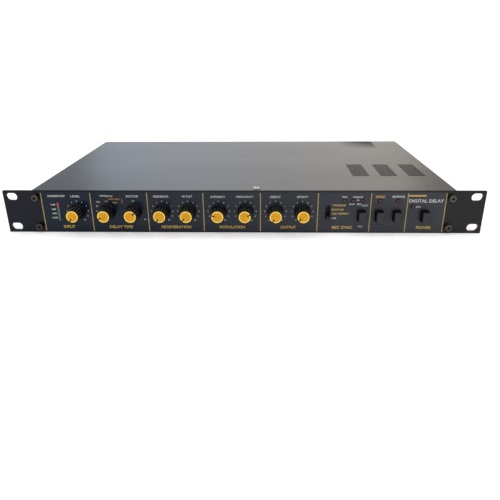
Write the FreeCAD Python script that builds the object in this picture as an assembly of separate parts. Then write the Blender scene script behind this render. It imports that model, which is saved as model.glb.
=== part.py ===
import FreeCAD, Part
import math
import os

from FreeCAD import Vector

# A one-unit, 19 inch rack delay: a painted front panel on two aluminium side rails, a folded
# steel pan, a rear panel and a folded top cover, with the boards, transformer, jacks and mains
# inlet inside. Millimetres. The origin is the centre of the rack slots, on the back face of the
# front panel, which is the face that lies on the rack. +X is to the right seen from the front,
# +Y runs towards the rear, +Z is up.

# ---- rack panel -------------------------------------------------------------------------------
panel_width = 482.6
panel_height = 44.0
panel_thickness = 3.0
panel_corner_radius = 0.6
panel_edge_round = 0.4
ear_width = 26.3
rack_slot_inset_x = 8.75
rack_slot_inset_z = 6.125
rack_slot_width = 7.8
rack_slot_length = 11.4

# ---- body -------------------------------------------------------------------------------------
body_depth = 262.0
cover_sheet = 1.0
pan_sheet = 1.2
rear_sheet = 1.5
cover_below_panel = 1.0
cover_fold_radius = 1.5
cover_side_lift = 0.3
seat_gap = 0.05
side_gap = 0.2
rail_width = 12.0
rail_web = 2.8
rail_boss_height = 9.0
pan_flange_depth = 16.0
rear_flange_depth = 11.0
flange_end_gap = 0.8

# ---- vents in the cover -----------------------------------------------------------------------
vent_x = (129.6, 160.3, 190.9)
vent_slot_length = 19.0
vent_slot_width = 2.4
vent_slot_pitch = 4.0
vent_slot_rows = 14

# ---- fasteners --------------------------------------------------------------------------------
m4_radius = 2.0
m3_radius = 1.5
tapped_clearance = 0.05
through_clearance = 0.25
hole_past_screw = 1.0
panel_screw_inset_z = 6.7
panel_screw_length = 16.0
cap_head_radius = 3.5
cap_head_height = 4.0
cap_socket_flats = 3.0
cap_socket_depth = 2.2
pan_head_share = 1.85
pan_head_height_share = 1.15
pan_head_round_share = 0.6
recess_reach_share = 0.55
recess_width_share = 0.17
recess_depth_share = 0.7
cover_screw_length = 6.0
cover_head_height_share = 0.65
cover_front_screw_x = 14.6
cover_front_screw_y = 10.3
cover_front_screw_turn = 20.0
cover_side_screw_inset = 57.0
rear_screw_length = 8.0
floor_screw_length = 7.0
floor_screw_inset = 40.0

# ---- controls on the front panel --------------------------------------------------------------
# Places across the panel are laid out on a field this wide, and spread with the body.
field_width = 403.6
knob_axis_z = 0.4
knob_names = ("level", "time", "factor", "feedback", "hi_cut", "intensity", "frequency", "direct", "effect")
knob_places = (-167.0, -136.0, -109.4, -80.4, -54.1, -23.1, 3.8, 34.1, 61.1)
# The angle of each pointer, clockwise from straight up.
knob_angle = (-150.0, -115.0, 53.0, -149.0, -137.0, -76.0, 67.0, -150.0, -131.0)
rotary_switch_name = "time"
shaft_radius = 3.0
shaft_clearance = 0.05
shaft_flat_depth = 0.7
bushing_wall = 0.45
bushing_reach = 3.2
control_nut_wall = 1.5
control_nut_thickness = 2.0
pot_radius = 8.2
pot_depth = 8.5
pot_back_wall = 1.0
rotary_switch_radius = 10.5
rotary_switch_depth = 13.0
terminal_radius = 0.45
terminal_spacing = 5.0
shaft_end_gap = 1.5
shaft_tip_gap = 0.5
shaft_flat_from_bushing = 1.0

# ---- knobs ------------------------------------------------------------------------------------
knob_height = 17.0
knob_gap = 0.5
knob_tip_radius = 6.5
knob_taper = 0.5
knob_flare = 1.1
knob_skirt_height = 1.2
knob_flare_height = 4.0
knob_edge = 0.3
knob_flutes = 16
knob_flute_radius = 0.75
knob_flute_runout = 0.5
knob_hollow_clearance = 0.5
knob_socket_wall = 2.0
cap_rim = 0.6
cap_clearance = 0.05
cap_thickness = 1.2
cap_stand = 0.25
cap_bevel = 0.4
pointer_width = 1.2
pointer_length = 3.3

# ---- push buttons -----------------------------------------------------------------------------
button_names = ("record", "hold", "bypass", "power")
button_places = (120.2, 137.8, 155.4, 183.0)
button_z = -3.3
button_width = 7.0
button_height = 10.7
button_reach = 9.0
button_travel = 3.0
button_hole_gap = 0.6
button_round = 0.7
button_dish_depth = 0.5
stem_side = 3.0
stem_clearance = 0.2
switch_wall = 1.0
switch_front_gap = 1.0
power_switch_width = 12.0
power_switch_height = 15.0
power_switch_depth = 16.0

# ---- slide switch -----------------------------------------------------------------------------
slide_place = 86.6
slide_positions = 4
slide_step = 3.6
slide_lever_width = 4.2
slide_lever_height = 3.6
slide_lever_reach = 4.5
slide_side_gap = 0.4
slide_end_gap = 0.1
slide_body_wall = 3.0
slide_body_end = 5.7
slide_body_gap = 0.8
slide_foot_depth = 3.0
slide_well_depth = 4.0

# ---- lamps ------------------------------------------------------------------------------------
lamp_places = (102.5, 111.3, 120.4, 137.8, 155.4)
lamp_z = 12.2
power_lamp_place = 170.4
power_lamp_z = 6.2
lamp_radius = 1.5
lamp_reach = 1.9
lamp_flange = 0.45
lamp_hole_gap = 0.12
lamp_flange_gap = 0.1
lamp_flange_thickness = 1.0
lamp_lead_share = 0.6
meter_place = -186.4
meter_top_z = 9.9
meter_pitch = 4.8
meter_lamp_width = 2.2
meter_lamp_height = 4.6
meter_lamps = 4
meter_reach = 0.5
meter_gap = 0.15
meter_lamp_depth = 3.0
lead_radius = 0.3

# ---- boards and what stands on them -----------------------------------------------------------
board_thickness = 1.6
control_board_y = 18.0
control_board_lift = 1.5
control_board_top_gap = 4.0
control_board_right_gap = 1.5
main_board_gap = 6.4
main_board_lift = 11.8
main_board_side_gap = 5.0
main_board_rear_gap = 3.0
support_radius = 3.0
support_tip_radius = 1.4
support_tip_gap = 0.1
support_inset = 6.0
support_middle_row = 106.0
support_tip_stand = 0.6
chip_height = 4.0
chip_lift = 0.5
chip_notch_radius = 1.0
chip_notch_depth = 0.5
chip_lead_pitch = 2.54
chip_lead_width = 0.5
chip_lead_thickness = 0.8
# Each kind of chip: length, width, how many in a row, the row's first place and its pitch from the
# board's left edge, and the distance of each row behind the board's front edge.
chip_rows = (
    (10.2, 6.4, 8, 30.0, 34.0, (30.0,)),
    (20.3, 6.4, 8, 30.0, 27.0, (70.0, 88.0)),
    (36.8, 13.7, 3, 50.0, 62.0, (125.0,)),
)
capacitor_radius = 8.0
capacitor_round = 1.0
capacitor_places = (122.0, 143.0, 164.0, 185.0)
capacitor_cover_gap = 3.4
capacitor_bay_gap = 28.0
heat_sink_place = 160.0
heat_sink_gap = 15.25
heat_sink_cover_gap = 5.4
heat_sink_base = 2.5
heat_sink_fin = 1.4
heat_sink_fin_pitch = 7.5
heat_sink_fin_depth = 11.0
heat_sink_fins = 9

# ---- transformer ------------------------------------------------------------------------------
transformer_place = 168.0
transformer_from_rear = 72.0
transformer_cover_gap = 6.8
core_length = 54.0
core_stack = 34.0
core_limb = 18.0
core_yoke = 7.5
winding_bulge = 8.0
winding_gap = 0.15
winding_round = 3.0
transformer_board_gap = 6.0

# ---- rear panel -------------------------------------------------------------------------------
jack_places = (-188.0, -163.0, -128.0, -103.0, -68.0, -43.0)
jack_axis_height = 7.4
jack_bore_radius = 3.2
jack_bushing_wall = 1.5
jack_bushing_reach = 4.5
jack_hole_gap = 0.2
jack_side_wall = 2.8
jack_top_wall = 2.3
jack_depth = 24.0
jack_wall = 1.5
jack_nut_wall = 1.3
jack_nut_thickness = 2.2
inlet_place = 168.0
inlet_flange_thickness = 3.0
inlet_flange_edge = 1.3
inlet_flange_corner = 4.0
inlet_screw_gap = 6.0
inlet_screw_edge = 5.0
inlet_wall = 2.0
inlet_mouth_width = 24.0
inlet_mouth_height = 16.4
inlet_mouth_depth = 16.0
inlet_mouth_corner = 5.0
inlet_back_wall = 3.0
inlet_pin_width = 2.0
inlet_pin_height = 4.0
inlet_pin_length = 11.0
inlet_pin_pitch = 7.0
inlet_pin_offset = 2.0
inlet_cutout_gap = 0.2

# How far a cutter runs past the face that it opens, and a joined piece into its neighbour.
overcut = 1.0

# ---- sizes and places that follow from those above ----------------------------------------------
body_width = panel_width - 2 * ear_width
panel_top = panel_height / 2
panel_bottom = -panel_height / 2
panel_face = -panel_thickness
rack_slot_x = panel_width / 2 - rack_slot_inset_x
rack_slot_z = panel_height / 2 - rack_slot_inset_z
panel_screw_z = panel_height / 2 - panel_screw_inset_z
cover_top = panel_top - cover_below_panel
cover_inside = cover_top - cover_sheet
cover_side_inside = body_width / 2 - cover_sheet
cover_inner_fold = cover_fold_radius - cover_sheet
floor_top = panel_bottom + pan_sheet
inner_top = cover_inside - seat_gap
rail_outside = cover_side_inside - side_gap
rail_inside = rail_outside - rail_width
rail_middle = rail_outside - rail_width / 2
rear_inside = body_depth - rear_sheet
flange_end = rail_inside - flange_end_gap
spread = 2 * rail_inside / field_width
knob_x = [place * spread for place in knob_places]
button_x = [place * spread for place in button_places]
lamp_x = [place * spread for place in lamp_places]
power_lamp_x = power_lamp_place * spread
slide_x = slide_place * spread
meter_x = meter_place * spread
bushing_radius = shaft_radius + shaft_clearance + bushing_wall
control_nut_flats = 2 * (bushing_radius + control_nut_wall)
knob_base = panel_face - knob_gap
knob_face = panel_face - knob_height
knob_waist_radius = knob_tip_radius + knob_taper
knob_skirt_radius = knob_waist_radius + knob_flare
cap_radius = knob_tip_radius - cap_rim
cap_seat = knob_face + cap_thickness
socket_end = cap_seat + knob_socket_wall
slide_slot_width = slide_lever_width + 2 * slide_side_gap
slide_slot_height = slide_lever_height + (slide_positions - 1) * slide_step + 2 * slide_end_gap
slide_rest_z = -(slide_positions - 1) * slide_step / 2
switch_front = pan_sheet + button_travel + switch_front_gap
control_board_right = button_x[-1] - power_switch_width / 2 - control_board_right_gap
main_board_front = control_board_y + board_thickness + main_board_gap
main_board_bottom = floor_top + main_board_lift
main_board_top = main_board_bottom + board_thickness
main_board_rear = rear_inside - main_board_rear_gap
main_board_side = rail_inside - main_board_side_gap
transformer_x = transformer_place * spread
transformer_y = body_depth - transformer_from_rear
bay_left = transformer_x - core_length / 2 - transformer_board_gap
bay_front = transformer_y - core_stack / 2 - winding_bulge - transformer_board_gap
core_top = inner_top - transformer_cover_gap
capacitor_y = bay_front - capacitor_bay_gap - capacitor_radius
heat_sink_y = capacitor_y - capacitor_radius - heat_sink_gap - heat_sink_base - heat_sink_fin_depth
jack_x = [place * spread for place in jack_places]
jack_z = main_board_top + jack_axis_height
jack_bushing_radius = jack_bore_radius + jack_bushing_wall
jack_front = rear_inside - jack_depth
inlet_x = inlet_place * spread
inlet_body_width = inlet_mouth_width + 2 * inlet_wall
inlet_body_height = inlet_mouth_height + 2 * inlet_wall
inlet_screw_offset = inlet_body_width / 2 + inlet_screw_gap
inlet_face = body_depth + inlet_flange_thickness


# ---- shapes that many pieces share ------------------------------------------------------------
def block(x0, x1, y0, y1, z0, z1):
    return Part.makeBox(x1 - x0, y1 - y0, z1 - z0, Vector(x0, y0, z0))


def centred_block(x, z, width, height, y0, y1):
    return block(x - width / 2, x + width / 2, y0, y1, z - height / 2, z + height / 2)


def rod(radius, x, z, y0, y1):
    return Part.makeCylinder(radius, y1 - y0, Vector(x, y0, z), Vector(0, 1, 0))


def post(radius, x, y, z0, z1):
    return Part.makeCylinder(radius, z1 - z0, Vector(x, y, z0), Vector(0, 0, 1))


def hexagon(flats, x, z, y0, y1):
    corner = flats / math.sqrt(3)
    points = []
    for k in range(7):
        angle = math.radians(60 * k)
        points.append(Vector(x + corner * math.cos(angle), y0, z + corner * math.sin(angle)))
    return Part.Face(Part.makePolygon(points)).extrude(Vector(0, y1 - y0, 0))


def turned(profile, x, z):
    """A solid of revolution about the Y axis through (x, z). The profile lists (radius, y)."""
    points = [Vector(x + radius, y, z) for radius, y in profile]
    face = Part.Face(Part.makePolygon(points + points[:1]))
    return face.revolve(Vector(x, 0, z), Vector(0, 1, 0), 360)


def round_edges(shape, radius, wanted):
    """Rounds the straight edges whose middle point and direction pass the test."""
    chosen = []
    for edge in shape.Edges:
        if len(edge.Vertexes) == 2:
            start, end = edge.Vertexes[0].Point, edge.Vertexes[1].Point
            if wanted((start + end) * 0.5, (end - start).normalize()):
                chosen.append(edge)
    return shape.makeFillet(radius, chosen)


def round_front(shape, radius, y):
    """Rounds every edge that lies in the plane at y, the foremost one of the shape."""
    return shape.makeFillet(radius, [edge for edge in shape.Edges if edge.BoundBox.YMax < y + 0.01])


def along_x(way):
    return abs(way.x) > 0.99


def along_y(way):
    return abs(way.y) > 0.99


def clear_of_fold(shape):
    """Rounds the two upper outer corners, which lie in the folds of the cover."""
    def in_a_fold(middle, way):
        return along_y(way) and middle.z > inner_top - 0.01 and abs(middle.x) > rail_outside - 0.01

    return round_edges(shape, cover_inner_fold, in_a_fold)


def export(name, solids):
    shape = solids[0] if len(solids) == 1 else Part.makeCompound(solids)
    shape.exportStep(os.path.join("parts", name + ".step"))


# ---- openings that the front panel and the pan's front wall share -------------------------------
def control_openings(y0, y1):
    lamp_hole = lamp_radius + lamp_hole_gap
    cutters = [rod(bushing_radius + through_clearance / 2, x, knob_axis_z, y0, y1) for x in knob_x]
    cutters += [rod(lamp_hole, x, lamp_z, y0, y1) for x in lamp_x]
    cutters.append(rod(lamp_hole, power_lamp_x, power_lamp_z, y0, y1))
    for x in button_x:
        width = button_width + 2 * button_hole_gap
        height = button_height + 2 * button_hole_gap
        cutters.append(centred_block(x, button_z, width, height, y0, y1))
    cutters.append(centred_block(slide_x, 0, slide_slot_width, slide_slot_height, y0, y1))
    meter_height = (meter_lamps - 1) * meter_pitch + meter_lamp_height
    cutters.append(
        centred_block(
            meter_x, meter_top_z - meter_height / 2,
            meter_lamp_width + 2 * meter_gap, meter_height + 2 * meter_gap, y0, y1,
        )
    )
    cutters += [rod(m4_radius + through_clearance, x, z, y0, y1) for x, z in panel_screw_places()]
    return cutters


# ---- where the fasteners go ---------------------------------------------------------------------
def panel_screw_places():
    return [(side * rail_middle, height) for side in (-1, 1) for height in (-panel_screw_z, panel_screw_z)]


def floor_screw_places():
    ys = (floor_screw_inset, body_depth / 2, body_depth - floor_screw_inset)
    return [(side * rail_middle, y) for side in (-1, 1) for y in ys]


def cover_side_screw_places():
    ys = (cover_side_screw_inset, body_depth - cover_side_screw_inset)
    return [(side, y) for side in (-1, 1) for y in ys]


def rail_rear_screw_places():
    return panel_screw_places()


def inlet_screw_places():
    return [(inlet_x + side * inlet_screw_offset, 0) for side in (-1, 1)]


# ---- sheet metal and rails ----------------------------------------------------------------------
def front_panel():
    plate = block(-panel_width / 2, panel_width / 2, panel_face, 0, panel_bottom, panel_top)
    plate = round_edges(plate, panel_corner_radius, lambda middle, way: along_y(way))
    plate = round_front(plate, panel_edge_round, panel_face)
    y0, y1 = panel_face - overcut, overcut
    cutters = control_openings(y0, y1)
    half = (rack_slot_length - rack_slot_width) / 2
    for side in (-1, 1):
        for height in (-1, 1):
            x, z = side * rack_slot_x, height * rack_slot_z
            cutters.append(centred_block(x, z, 2 * half, rack_slot_width, y0, y1))
            cutters += [rod(rack_slot_width / 2, x + end * half, z, y0, y1) for end in (-1, 1)]
    return [plate.cut(Part.makeCompound(cutters))]


def chassis_pan():
    floor = block(-rail_outside, rail_outside, 0, body_depth, panel_bottom, floor_top)
    wall = block(-rail_outside, rail_outside, 0, pan_sheet, panel_bottom, inner_top)
    flange = block(-flange_end, flange_end, 0, pan_flange_depth, inner_top - pan_sheet, inner_top)
    pan = floor.multiFuse([wall, flange]).removeSplitter()
    pan = clear_of_fold(pan)
    cutters = control_openings(-overcut, pan_sheet + overcut)
    tapped = m4_radius + tapped_clearance
    cutters.append(
        post(tapped, cover_front_screw_x, cover_front_screw_y, inner_top - 2 * pan_sheet, cover_top)
    )
    for x, y in floor_screw_places():
        cutters.append(
            Part.makeCone(
                2 * m3_radius + through_clearance, m3_radius + through_clearance, pan_sheet,
                Vector(x, y, panel_bottom),
            )
        )
    return [pan.cut(Part.makeCompound(cutters))]


def side_rail(side):
    x0, x1 = sorted((side * rail_inside, side * rail_outside))
    web0, web1 = sorted((side * (rail_outside - rail_web), side * rail_outside))
    y0, y1 = pan_sheet, rear_inside
    rail = block(web0, web1, y0, y1, floor_top, inner_top).multiFuse([
        block(x0, x1, y0, y1, inner_top - rail_boss_height, inner_top),
        block(x0, x1, y0, y1, floor_top, floor_top + rail_boss_height),
    ])
    rail = clear_of_fold(rail.removeSplitter())
    x = side * rail_middle
    m3_tapped, m4_tapped = m3_radius + tapped_clearance, m4_radius + tapped_clearance
    cutters = []
    for z in (-panel_screw_z, panel_screw_z):
        cutters.append(rod(m4_tapped, x, z, 0, panel_face + panel_screw_length + hole_past_screw))
        cutters.append(rod(m3_tapped, x, z, body_depth - rear_screw_length - hole_past_screw, body_depth))
    for screw_x, y in floor_screw_places():
        if screw_x * side > 0:
            top = panel_bottom + floor_screw_length + hole_past_screw
            cutters.append(post(m3_tapped, screw_x, y, panel_bottom, top))
    for screw_side, y in cover_side_screw_places():
        if screw_side == side:
            start = Vector(side * (rail_outside - rail_web - overcut), y, 0)
            cutters.append(Part.makeCylinder(m4_tapped, rail_web + 2 * overcut, start, Vector(side, 0, 0)))
    return rail.cut(Part.makeCompound(cutters))


def rear_panel():
    plate = block(-rail_outside, rail_outside, rear_inside, body_depth, floor_top, inner_top)
    flange = block(
        -flange_end, flange_end, body_depth - rear_flange_depth, body_depth, inner_top - rear_sheet, inner_top
    )
    panel = clear_of_fold(plate.fuse(flange).removeSplitter())
    y0, y1 = rear_inside - overcut, body_depth + overcut
    screw_places = rail_rear_screw_places() + inlet_screw_places()
    cutters = [rod(m3_radius + through_clearance, x, z, y0, y1) for x, z in screw_places]
    cutters += [rod(jack_bushing_radius + jack_hole_gap, x, jack_z, y0, y1) for x in jack_x]
    width = inlet_body_width + 2 * inlet_cutout_gap
    height = inlet_body_height + 2 * inlet_cutout_gap
    cutters.append(centred_block(inlet_x, 0, width, height, y0, y1))
    return [panel.cut(Part.makeCompound(cutters))]


def vent_cutters():
    """Straight columns of round-ended slots over the hot parts."""
    middle_y = heat_sink_y + heat_sink_base / 2
    first_row = middle_y - (vent_slot_rows - 1) * vent_slot_pitch / 2
    half = (vent_slot_length - vent_slot_width) / 2
    z0, z1 = cover_inside - overcut, cover_top + overcut
    cutters = []
    for place in vent_x:
        x = place * spread
        for row in range(vent_slot_rows):
            y = first_row + row * vent_slot_pitch
            slot = block(x - half, x + half, y - vent_slot_width / 2, y + vent_slot_width / 2, z0, z1)
            ends = [post(vent_slot_width / 2, x + end * half, y, z0, z1) for end in (-1, 1)]
            cutters.append(slot.multiFuse(ends))
    return cutters


def top_cover():
    half = body_width / 2
    y0, y1 = seat_gap, body_depth
    bottom = panel_bottom + cover_side_lift
    outer = block(-half, half, y0, y1, bottom, cover_top)
    outer = round_edges(
        outer, cover_fold_radius, lambda middle, way: along_y(way) and middle.z > cover_top - 0.01
    )
    inner = block(
        -cover_side_inside, cover_side_inside, y0 - overcut, y1 + overcut, bottom - overcut, cover_inside
    )
    inner = round_edges(
        inner, cover_inner_fold, lambda middle, way: along_y(way) and middle.z > cover_inside - 0.01
    )
    hole = m4_radius + through_clearance
    cutters = vent_cutters()
    z0, z1 = cover_inside - overcut, cover_top + overcut
    cutters.append(post(hole, cover_front_screw_x, cover_front_screw_y, z0, z1))
    for side, y in cover_side_screw_places():
        start = Vector(side * (cover_side_inside - overcut), y, 0)
        cutters.append(Part.makeCylinder(hole, cover_sheet + 2 * overcut, start, Vector(side, 0, 0)))
    return [outer.cut(inner).cut(Part.makeCompound(cutters))]


# ---- fasteners ----------------------------------------------------------------------------------
def cross_recess(radius, depth):
    """A cross-shaped recess about the Z axis, cut down from z = 0."""
    arm, width = radius * recess_reach_share, radius * recess_width_share
    bar = block(-arm, arm, -width, width, -depth, overcut)
    return bar.fuse(block(-width, width, -arm, arm, -depth, overcut))


def pan_head_screw(radius, length, height_share=pan_head_height_share):
    """A screw along Z with the underside of its head at z = 0."""
    head_radius, head_height = radius * pan_head_share, radius * height_share
    head = Part.makeCylinder(head_radius, head_height)
    rim = [edge for edge in head.Edges if edge.BoundBox.ZMin > head_height - 0.01]
    head = head.makeFillet(head_height * pan_head_round_share, rim)
    recess = cross_recess(head_radius, head_height * recess_depth_share)
    recess.translate(Vector(0, 0, head_height))
    shank = Part.makeCylinder(radius, length, Vector(0, 0, -length))
    return head.cut(recess).fuse(shank)


def placed(shape, x, y, z, axis, angle):
    copy = shape.copy()
    copy.rotate(Vector(0, 0, 0), axis, angle)
    copy.translate(Vector(x, y, z))
    return copy


def panel_screws():
    screws = []
    face = panel_face - cap_head_height
    for x, z in panel_screw_places():
        head = round_front(rod(cap_head_radius, x, z, face, panel_face), panel_edge_round, face)
        socket = hexagon(cap_socket_flats, x, z, face - overcut, face + cap_socket_depth)
        shank = rod(m4_radius, x, z, panel_face, panel_face + panel_screw_length)
        screws.append(head.cut(socket).fuse(shank))
    return screws


def cover_screws():
    top_screw = pan_head_screw(m4_radius, cover_screw_length, cover_head_height_share)
    up, across = Vector(0, 0, 1), Vector(0, 1, 0)
    x, y = cover_front_screw_x, cover_front_screw_y
    screws = [placed(top_screw, x, y, cover_top, up, cover_front_screw_turn)]
    for side, y in cover_side_screw_places():
        screws.append(placed(top_screw, side * body_width / 2, y, 0, across, side * 90))
    return screws


def rear_screws():
    screw = pan_head_screw(m3_radius, rear_screw_length)
    across = Vector(1, 0, 0)
    screws = [placed(screw, x, body_depth, z, across, -90) for x, z in rail_rear_screw_places()]
    screws += [placed(screw, x, inlet_face, z, across, -90) for x, z in inlet_screw_places()]
    return screws


def floor_screws():
    screws = []
    for x, y in floor_screw_places():
        head = Part.makeCone(2 * m3_radius, m3_radius, pan_sheet, Vector(x, y, panel_bottom))
        shank = post(m3_radius, x, y, panel_bottom + pan_sheet / 2, panel_bottom + floor_screw_length)
        recess = cross_recess(2 * m3_radius, pan_sheet * recess_depth_share)
        recess.rotate(Vector(0, 0, 0), Vector(1, 0, 0), 180)
        recess.translate(Vector(x, y, panel_bottom))
        screws.append(head.fuse(shank).cut(recess))
    return screws


# ---- potentiometers and the rotary switch, with their shafts, nuts and knobs --------------------
def control_body(x, radius, depth):
    back = pan_sheet + depth
    bushing_end = panel_face - bushing_reach
    pieces = [rod(bushing_radius, x, knob_axis_z, bushing_end, pan_sheet)]
    for step in (-1, 0, 1):
        terminal_x, terminal_z = x + step * terminal_spacing, knob_axis_z - radius / 2
        pieces.append(rod(terminal_radius, terminal_x, terminal_z, back - overcut, control_board_y))
    body = rod(radius, x, knob_axis_z, pan_sheet, back).multiFuse(pieces)
    well_end = back - pot_back_wall
    return body.cut(rod(shaft_radius + shaft_clearance, x, knob_axis_z, bushing_end - overcut, well_end))


def rotary_switch_x():
    return knob_x[knob_names.index(rotary_switch_name)]


def pot_bodies():
    return [control_body(x, pot_radius, pot_depth) for x in knob_x if x != rotary_switch_x()]


def rotary_switch_body():
    return [control_body(rotary_switch_x(), rotary_switch_radius, rotary_switch_depth)]


def control_nuts():
    nuts = []
    y0 = panel_face - control_nut_thickness
    for x in knob_x:
        nut = hexagon(control_nut_flats, x, knob_axis_z, y0, panel_face)
        nuts.append(nut.cut(rod(bushing_radius + tapped_clearance, x, knob_axis_z, y0 - overcut, overcut)))
    return nuts


def shaft_flat(x, clearance):
    """What is missing from the round shaft along the stretch that the knob grips."""
    low = knob_axis_z + shaft_radius - shaft_flat_depth + clearance
    y0, y1 = socket_end - overcut, panel_face - bushing_reach - shaft_flat_from_bushing - clearance
    return block(x - shaft_radius, x + shaft_radius, y0, y1, low, low + shaft_radius)


def shaft(x, angle):
    bar = rod(shaft_radius, x, knob_axis_z, socket_end + shaft_tip_gap, pan_sheet + pot_depth - shaft_end_gap)
    bar = bar.cut(shaft_flat(x, 0))
    bar.rotate(Vector(x, 0, knob_axis_z), Vector(0, 1, 0), angle)
    return [bar]


def knob_profile():
    """(radius, y) round half a section of the knob."""
    hollow_radius = control_nut_flats / math.sqrt(3) + knob_hollow_clearance
    hollow_end = panel_face - bushing_reach - knob_hollow_clearance
    socket_radius = shaft_radius + shaft_clearance
    return [
        (hollow_radius, knob_base),
        (knob_skirt_radius, knob_base),
        (knob_skirt_radius, knob_base - knob_skirt_height),
        (knob_waist_radius + knob_edge, knob_base - knob_skirt_height - knob_flare),
        (knob_waist_radius, knob_base - knob_flare_height),
        (knob_tip_radius, knob_face + knob_edge),
        (knob_tip_radius - knob_edge, knob_face),
        (cap_radius + cap_clearance, knob_face),
        (cap_radius + cap_clearance, cap_seat),
        (0, cap_seat),
        (0, socket_end),
        (socket_radius, socket_end),
        (socket_radius, hollow_end),
        (hollow_radius, hollow_end),
    ]


def pointer_rib(x, gap):
    """The bar of the knob that shows through the slot in its cap, straight up from the middle."""
    half = pointer_width / 2 + gap
    low = knob_axis_z + cap_radius - pointer_length - gap
    high = knob_axis_z + cap_radius + 2 * cap_clearance
    return block(x - half, x + half, knob_face, cap_seat + cap_clearance, low, high)


def knob_flute_cutters(x):
    lean = math.degrees(math.atan2(knob_taper, knob_height - knob_flare_height))
    tip = Vector(x, knob_face, knob_axis_z + knob_tip_radius)
    length = knob_height - knob_flare_height + overcut + knob_flute_runout
    cutters = []
    for k in range(knob_flutes):
        start = Vector(x, knob_face - overcut, tip.z + knob_flute_radius / 3)
        flute = Part.makeCylinder(knob_flute_radius, length, start, Vector(0, 1, 0))
        flute.rotate(tip, Vector(1, 0, 0), lean)
        flute.rotate(Vector(x, 0, knob_axis_z), Vector(0, 1, 0), (k + 0.5) * 360 / knob_flutes)
        cutters.append(flute)
    return Part.makeCompound(cutters)


def knob(x, angle):
    grip = shaft_flat(x, shaft_clearance).common(
        rod(shaft_radius + shaft_clearance / 2, x, knob_axis_z, socket_end - overcut, knob_base)
    )
    body = turned(knob_profile(), x, knob_axis_z).cut(knob_flute_cutters(x))
    body = body.multiFuse([grip, pointer_rib(x, 0)])
    body.rotate(Vector(x, 0, knob_axis_z), Vector(0, 1, 0), angle)
    return [body]


def knob_cap(x, angle):
    front, back = knob_face - cap_stand, cap_seat - seat_gap
    outline = [
        (0, back),
        (cap_radius, back),
        (cap_radius, front + cap_bevel),
        (cap_radius - cap_bevel, front),
        (0, front),
    ]
    slot = pointer_rib(x, cap_clearance)
    slot = slot.fuse(slot.translated(Vector(0, -2 * cap_stand, 0)))
    disc = turned(outline, x, knob_axis_z).cut(slot)
    disc.rotate(Vector(x, 0, knob_axis_z), Vector(0, 1, 0), angle)
    return [disc]


# ---- push buttons and their switches --------------------------------------------------------------
def button(x):
    face = panel_face - button_reach
    cap = centred_block(x, button_z, button_width, button_height, face, pan_sheet)
    cap = round_front(cap, button_round, face)
    dish_radius = ((button_height / 2) ** 2 + button_dish_depth ** 2) / (2 * button_dish_depth)
    dish = Part.makeCylinder(
        dish_radius, button_width + 2 * overcut,
        Vector(x - button_width / 2 - overcut, face + button_dish_depth - dish_radius, button_z),
        Vector(1, 0, 0),
    )
    stem = centred_block(x, button_z, stem_side, stem_side, 0, switch_front + button_travel)
    return [cap.cut(dish).fuse(stem)]


def switch_body(x, width, height, back):
    body = centred_block(x, button_z, width, height, switch_front, back)
    well_side = stem_side + 2 * stem_clearance
    well_end = switch_front + 2 * button_travel + switch_front_gap
    return body.cut(centred_block(x, button_z, well_side, well_side, switch_front - overcut, well_end))


def switch_bodies():
    width, height = button_width + 2 * switch_wall, button_height + 2 * switch_wall
    signal = [switch_body(x, width, height, control_board_y) for x in button_x[:-1]]
    power_back = switch_front + power_switch_depth
    return signal + [switch_body(button_x[-1], power_switch_width, power_switch_height, power_back)]


# ---- slide switch ---------------------------------------------------------------------------------
def slide_lever():
    face = panel_face - slide_lever_reach
    lever = centred_block(
        slide_x, slide_rest_z, slide_lever_width, slide_lever_height, face, pan_sheet + slide_foot_depth
    )
    return [round_front(lever, button_round / 2, face)]


def slide_switch_body():
    front = pan_sheet + slide_body_gap
    width = slide_slot_width + 2 * slide_body_wall
    height = slide_slot_height + 2 * slide_body_end
    body = centred_block(slide_x, 0, width, height, front, control_board_y)
    y0, y1 = front - overcut, front + slide_well_depth
    return [body.cut(centred_block(slide_x, 0, slide_slot_width, slide_slot_height, y0, y1))]


# ---- lamps ----------------------------------------------------------------------------------------
def round_lamp(x, z):
    middle_y = panel_face - lamp_reach + lamp_radius
    flange_end_y = pan_sheet + lamp_flange_gap + lamp_flange_thickness
    dome = Part.makeSphere(lamp_radius, Vector(x, middle_y, z))
    pieces = [
        rod(lamp_radius, x, z, middle_y, flange_end_y),
        rod(lamp_radius + lamp_flange, x, z, pan_sheet + lamp_flange_gap, flange_end_y),
    ]
    for side in (-1, 1):
        lead_x = x + side * lamp_radius * lamp_lead_share
        pieces.append(rod(lead_radius, lead_x, z, flange_end_y - lamp_flange_gap, control_board_y))
    return dome.multiFuse(pieces)


def indicator_lamps():
    return [round_lamp(x, lamp_z) for x in lamp_x] + [round_lamp(power_lamp_x, power_lamp_z)]


def meter_lamp(number):
    z = meter_top_z - number * meter_pitch - meter_lamp_height / 2
    face, back = panel_face - meter_reach, pan_sheet + meter_lamp_depth
    lamp = centred_block(meter_x, z, meter_lamp_width, meter_lamp_height, face, back)
    leads = [
        rod(lead_radius, meter_x, z + side * meter_lamp_height / 4, back - overcut, control_board_y)
        for side in (-1, 1)
    ]
    return lamp.multiFuse(leads)


# ---- boards and the parts on them -----------------------------------------------------------------
def control_board():
    y0, y1 = control_board_y, control_board_y + board_thickness
    z0, z1 = floor_top + control_board_lift, inner_top - control_board_top_gap
    return [block(-main_board_side, control_board_right, y0, y1, z0, z1)]


def support_places():
    near, far = main_board_front + support_inset, jack_front - support_inset
    middle = main_board_front + support_middle_row
    side = main_board_side - support_inset
    places = [(x, y) for x in (-side, 0) for y in (near, middle, far)]
    return places + [(side, near), (side, bay_front - support_inset), (bay_left - support_inset, far)]


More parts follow.
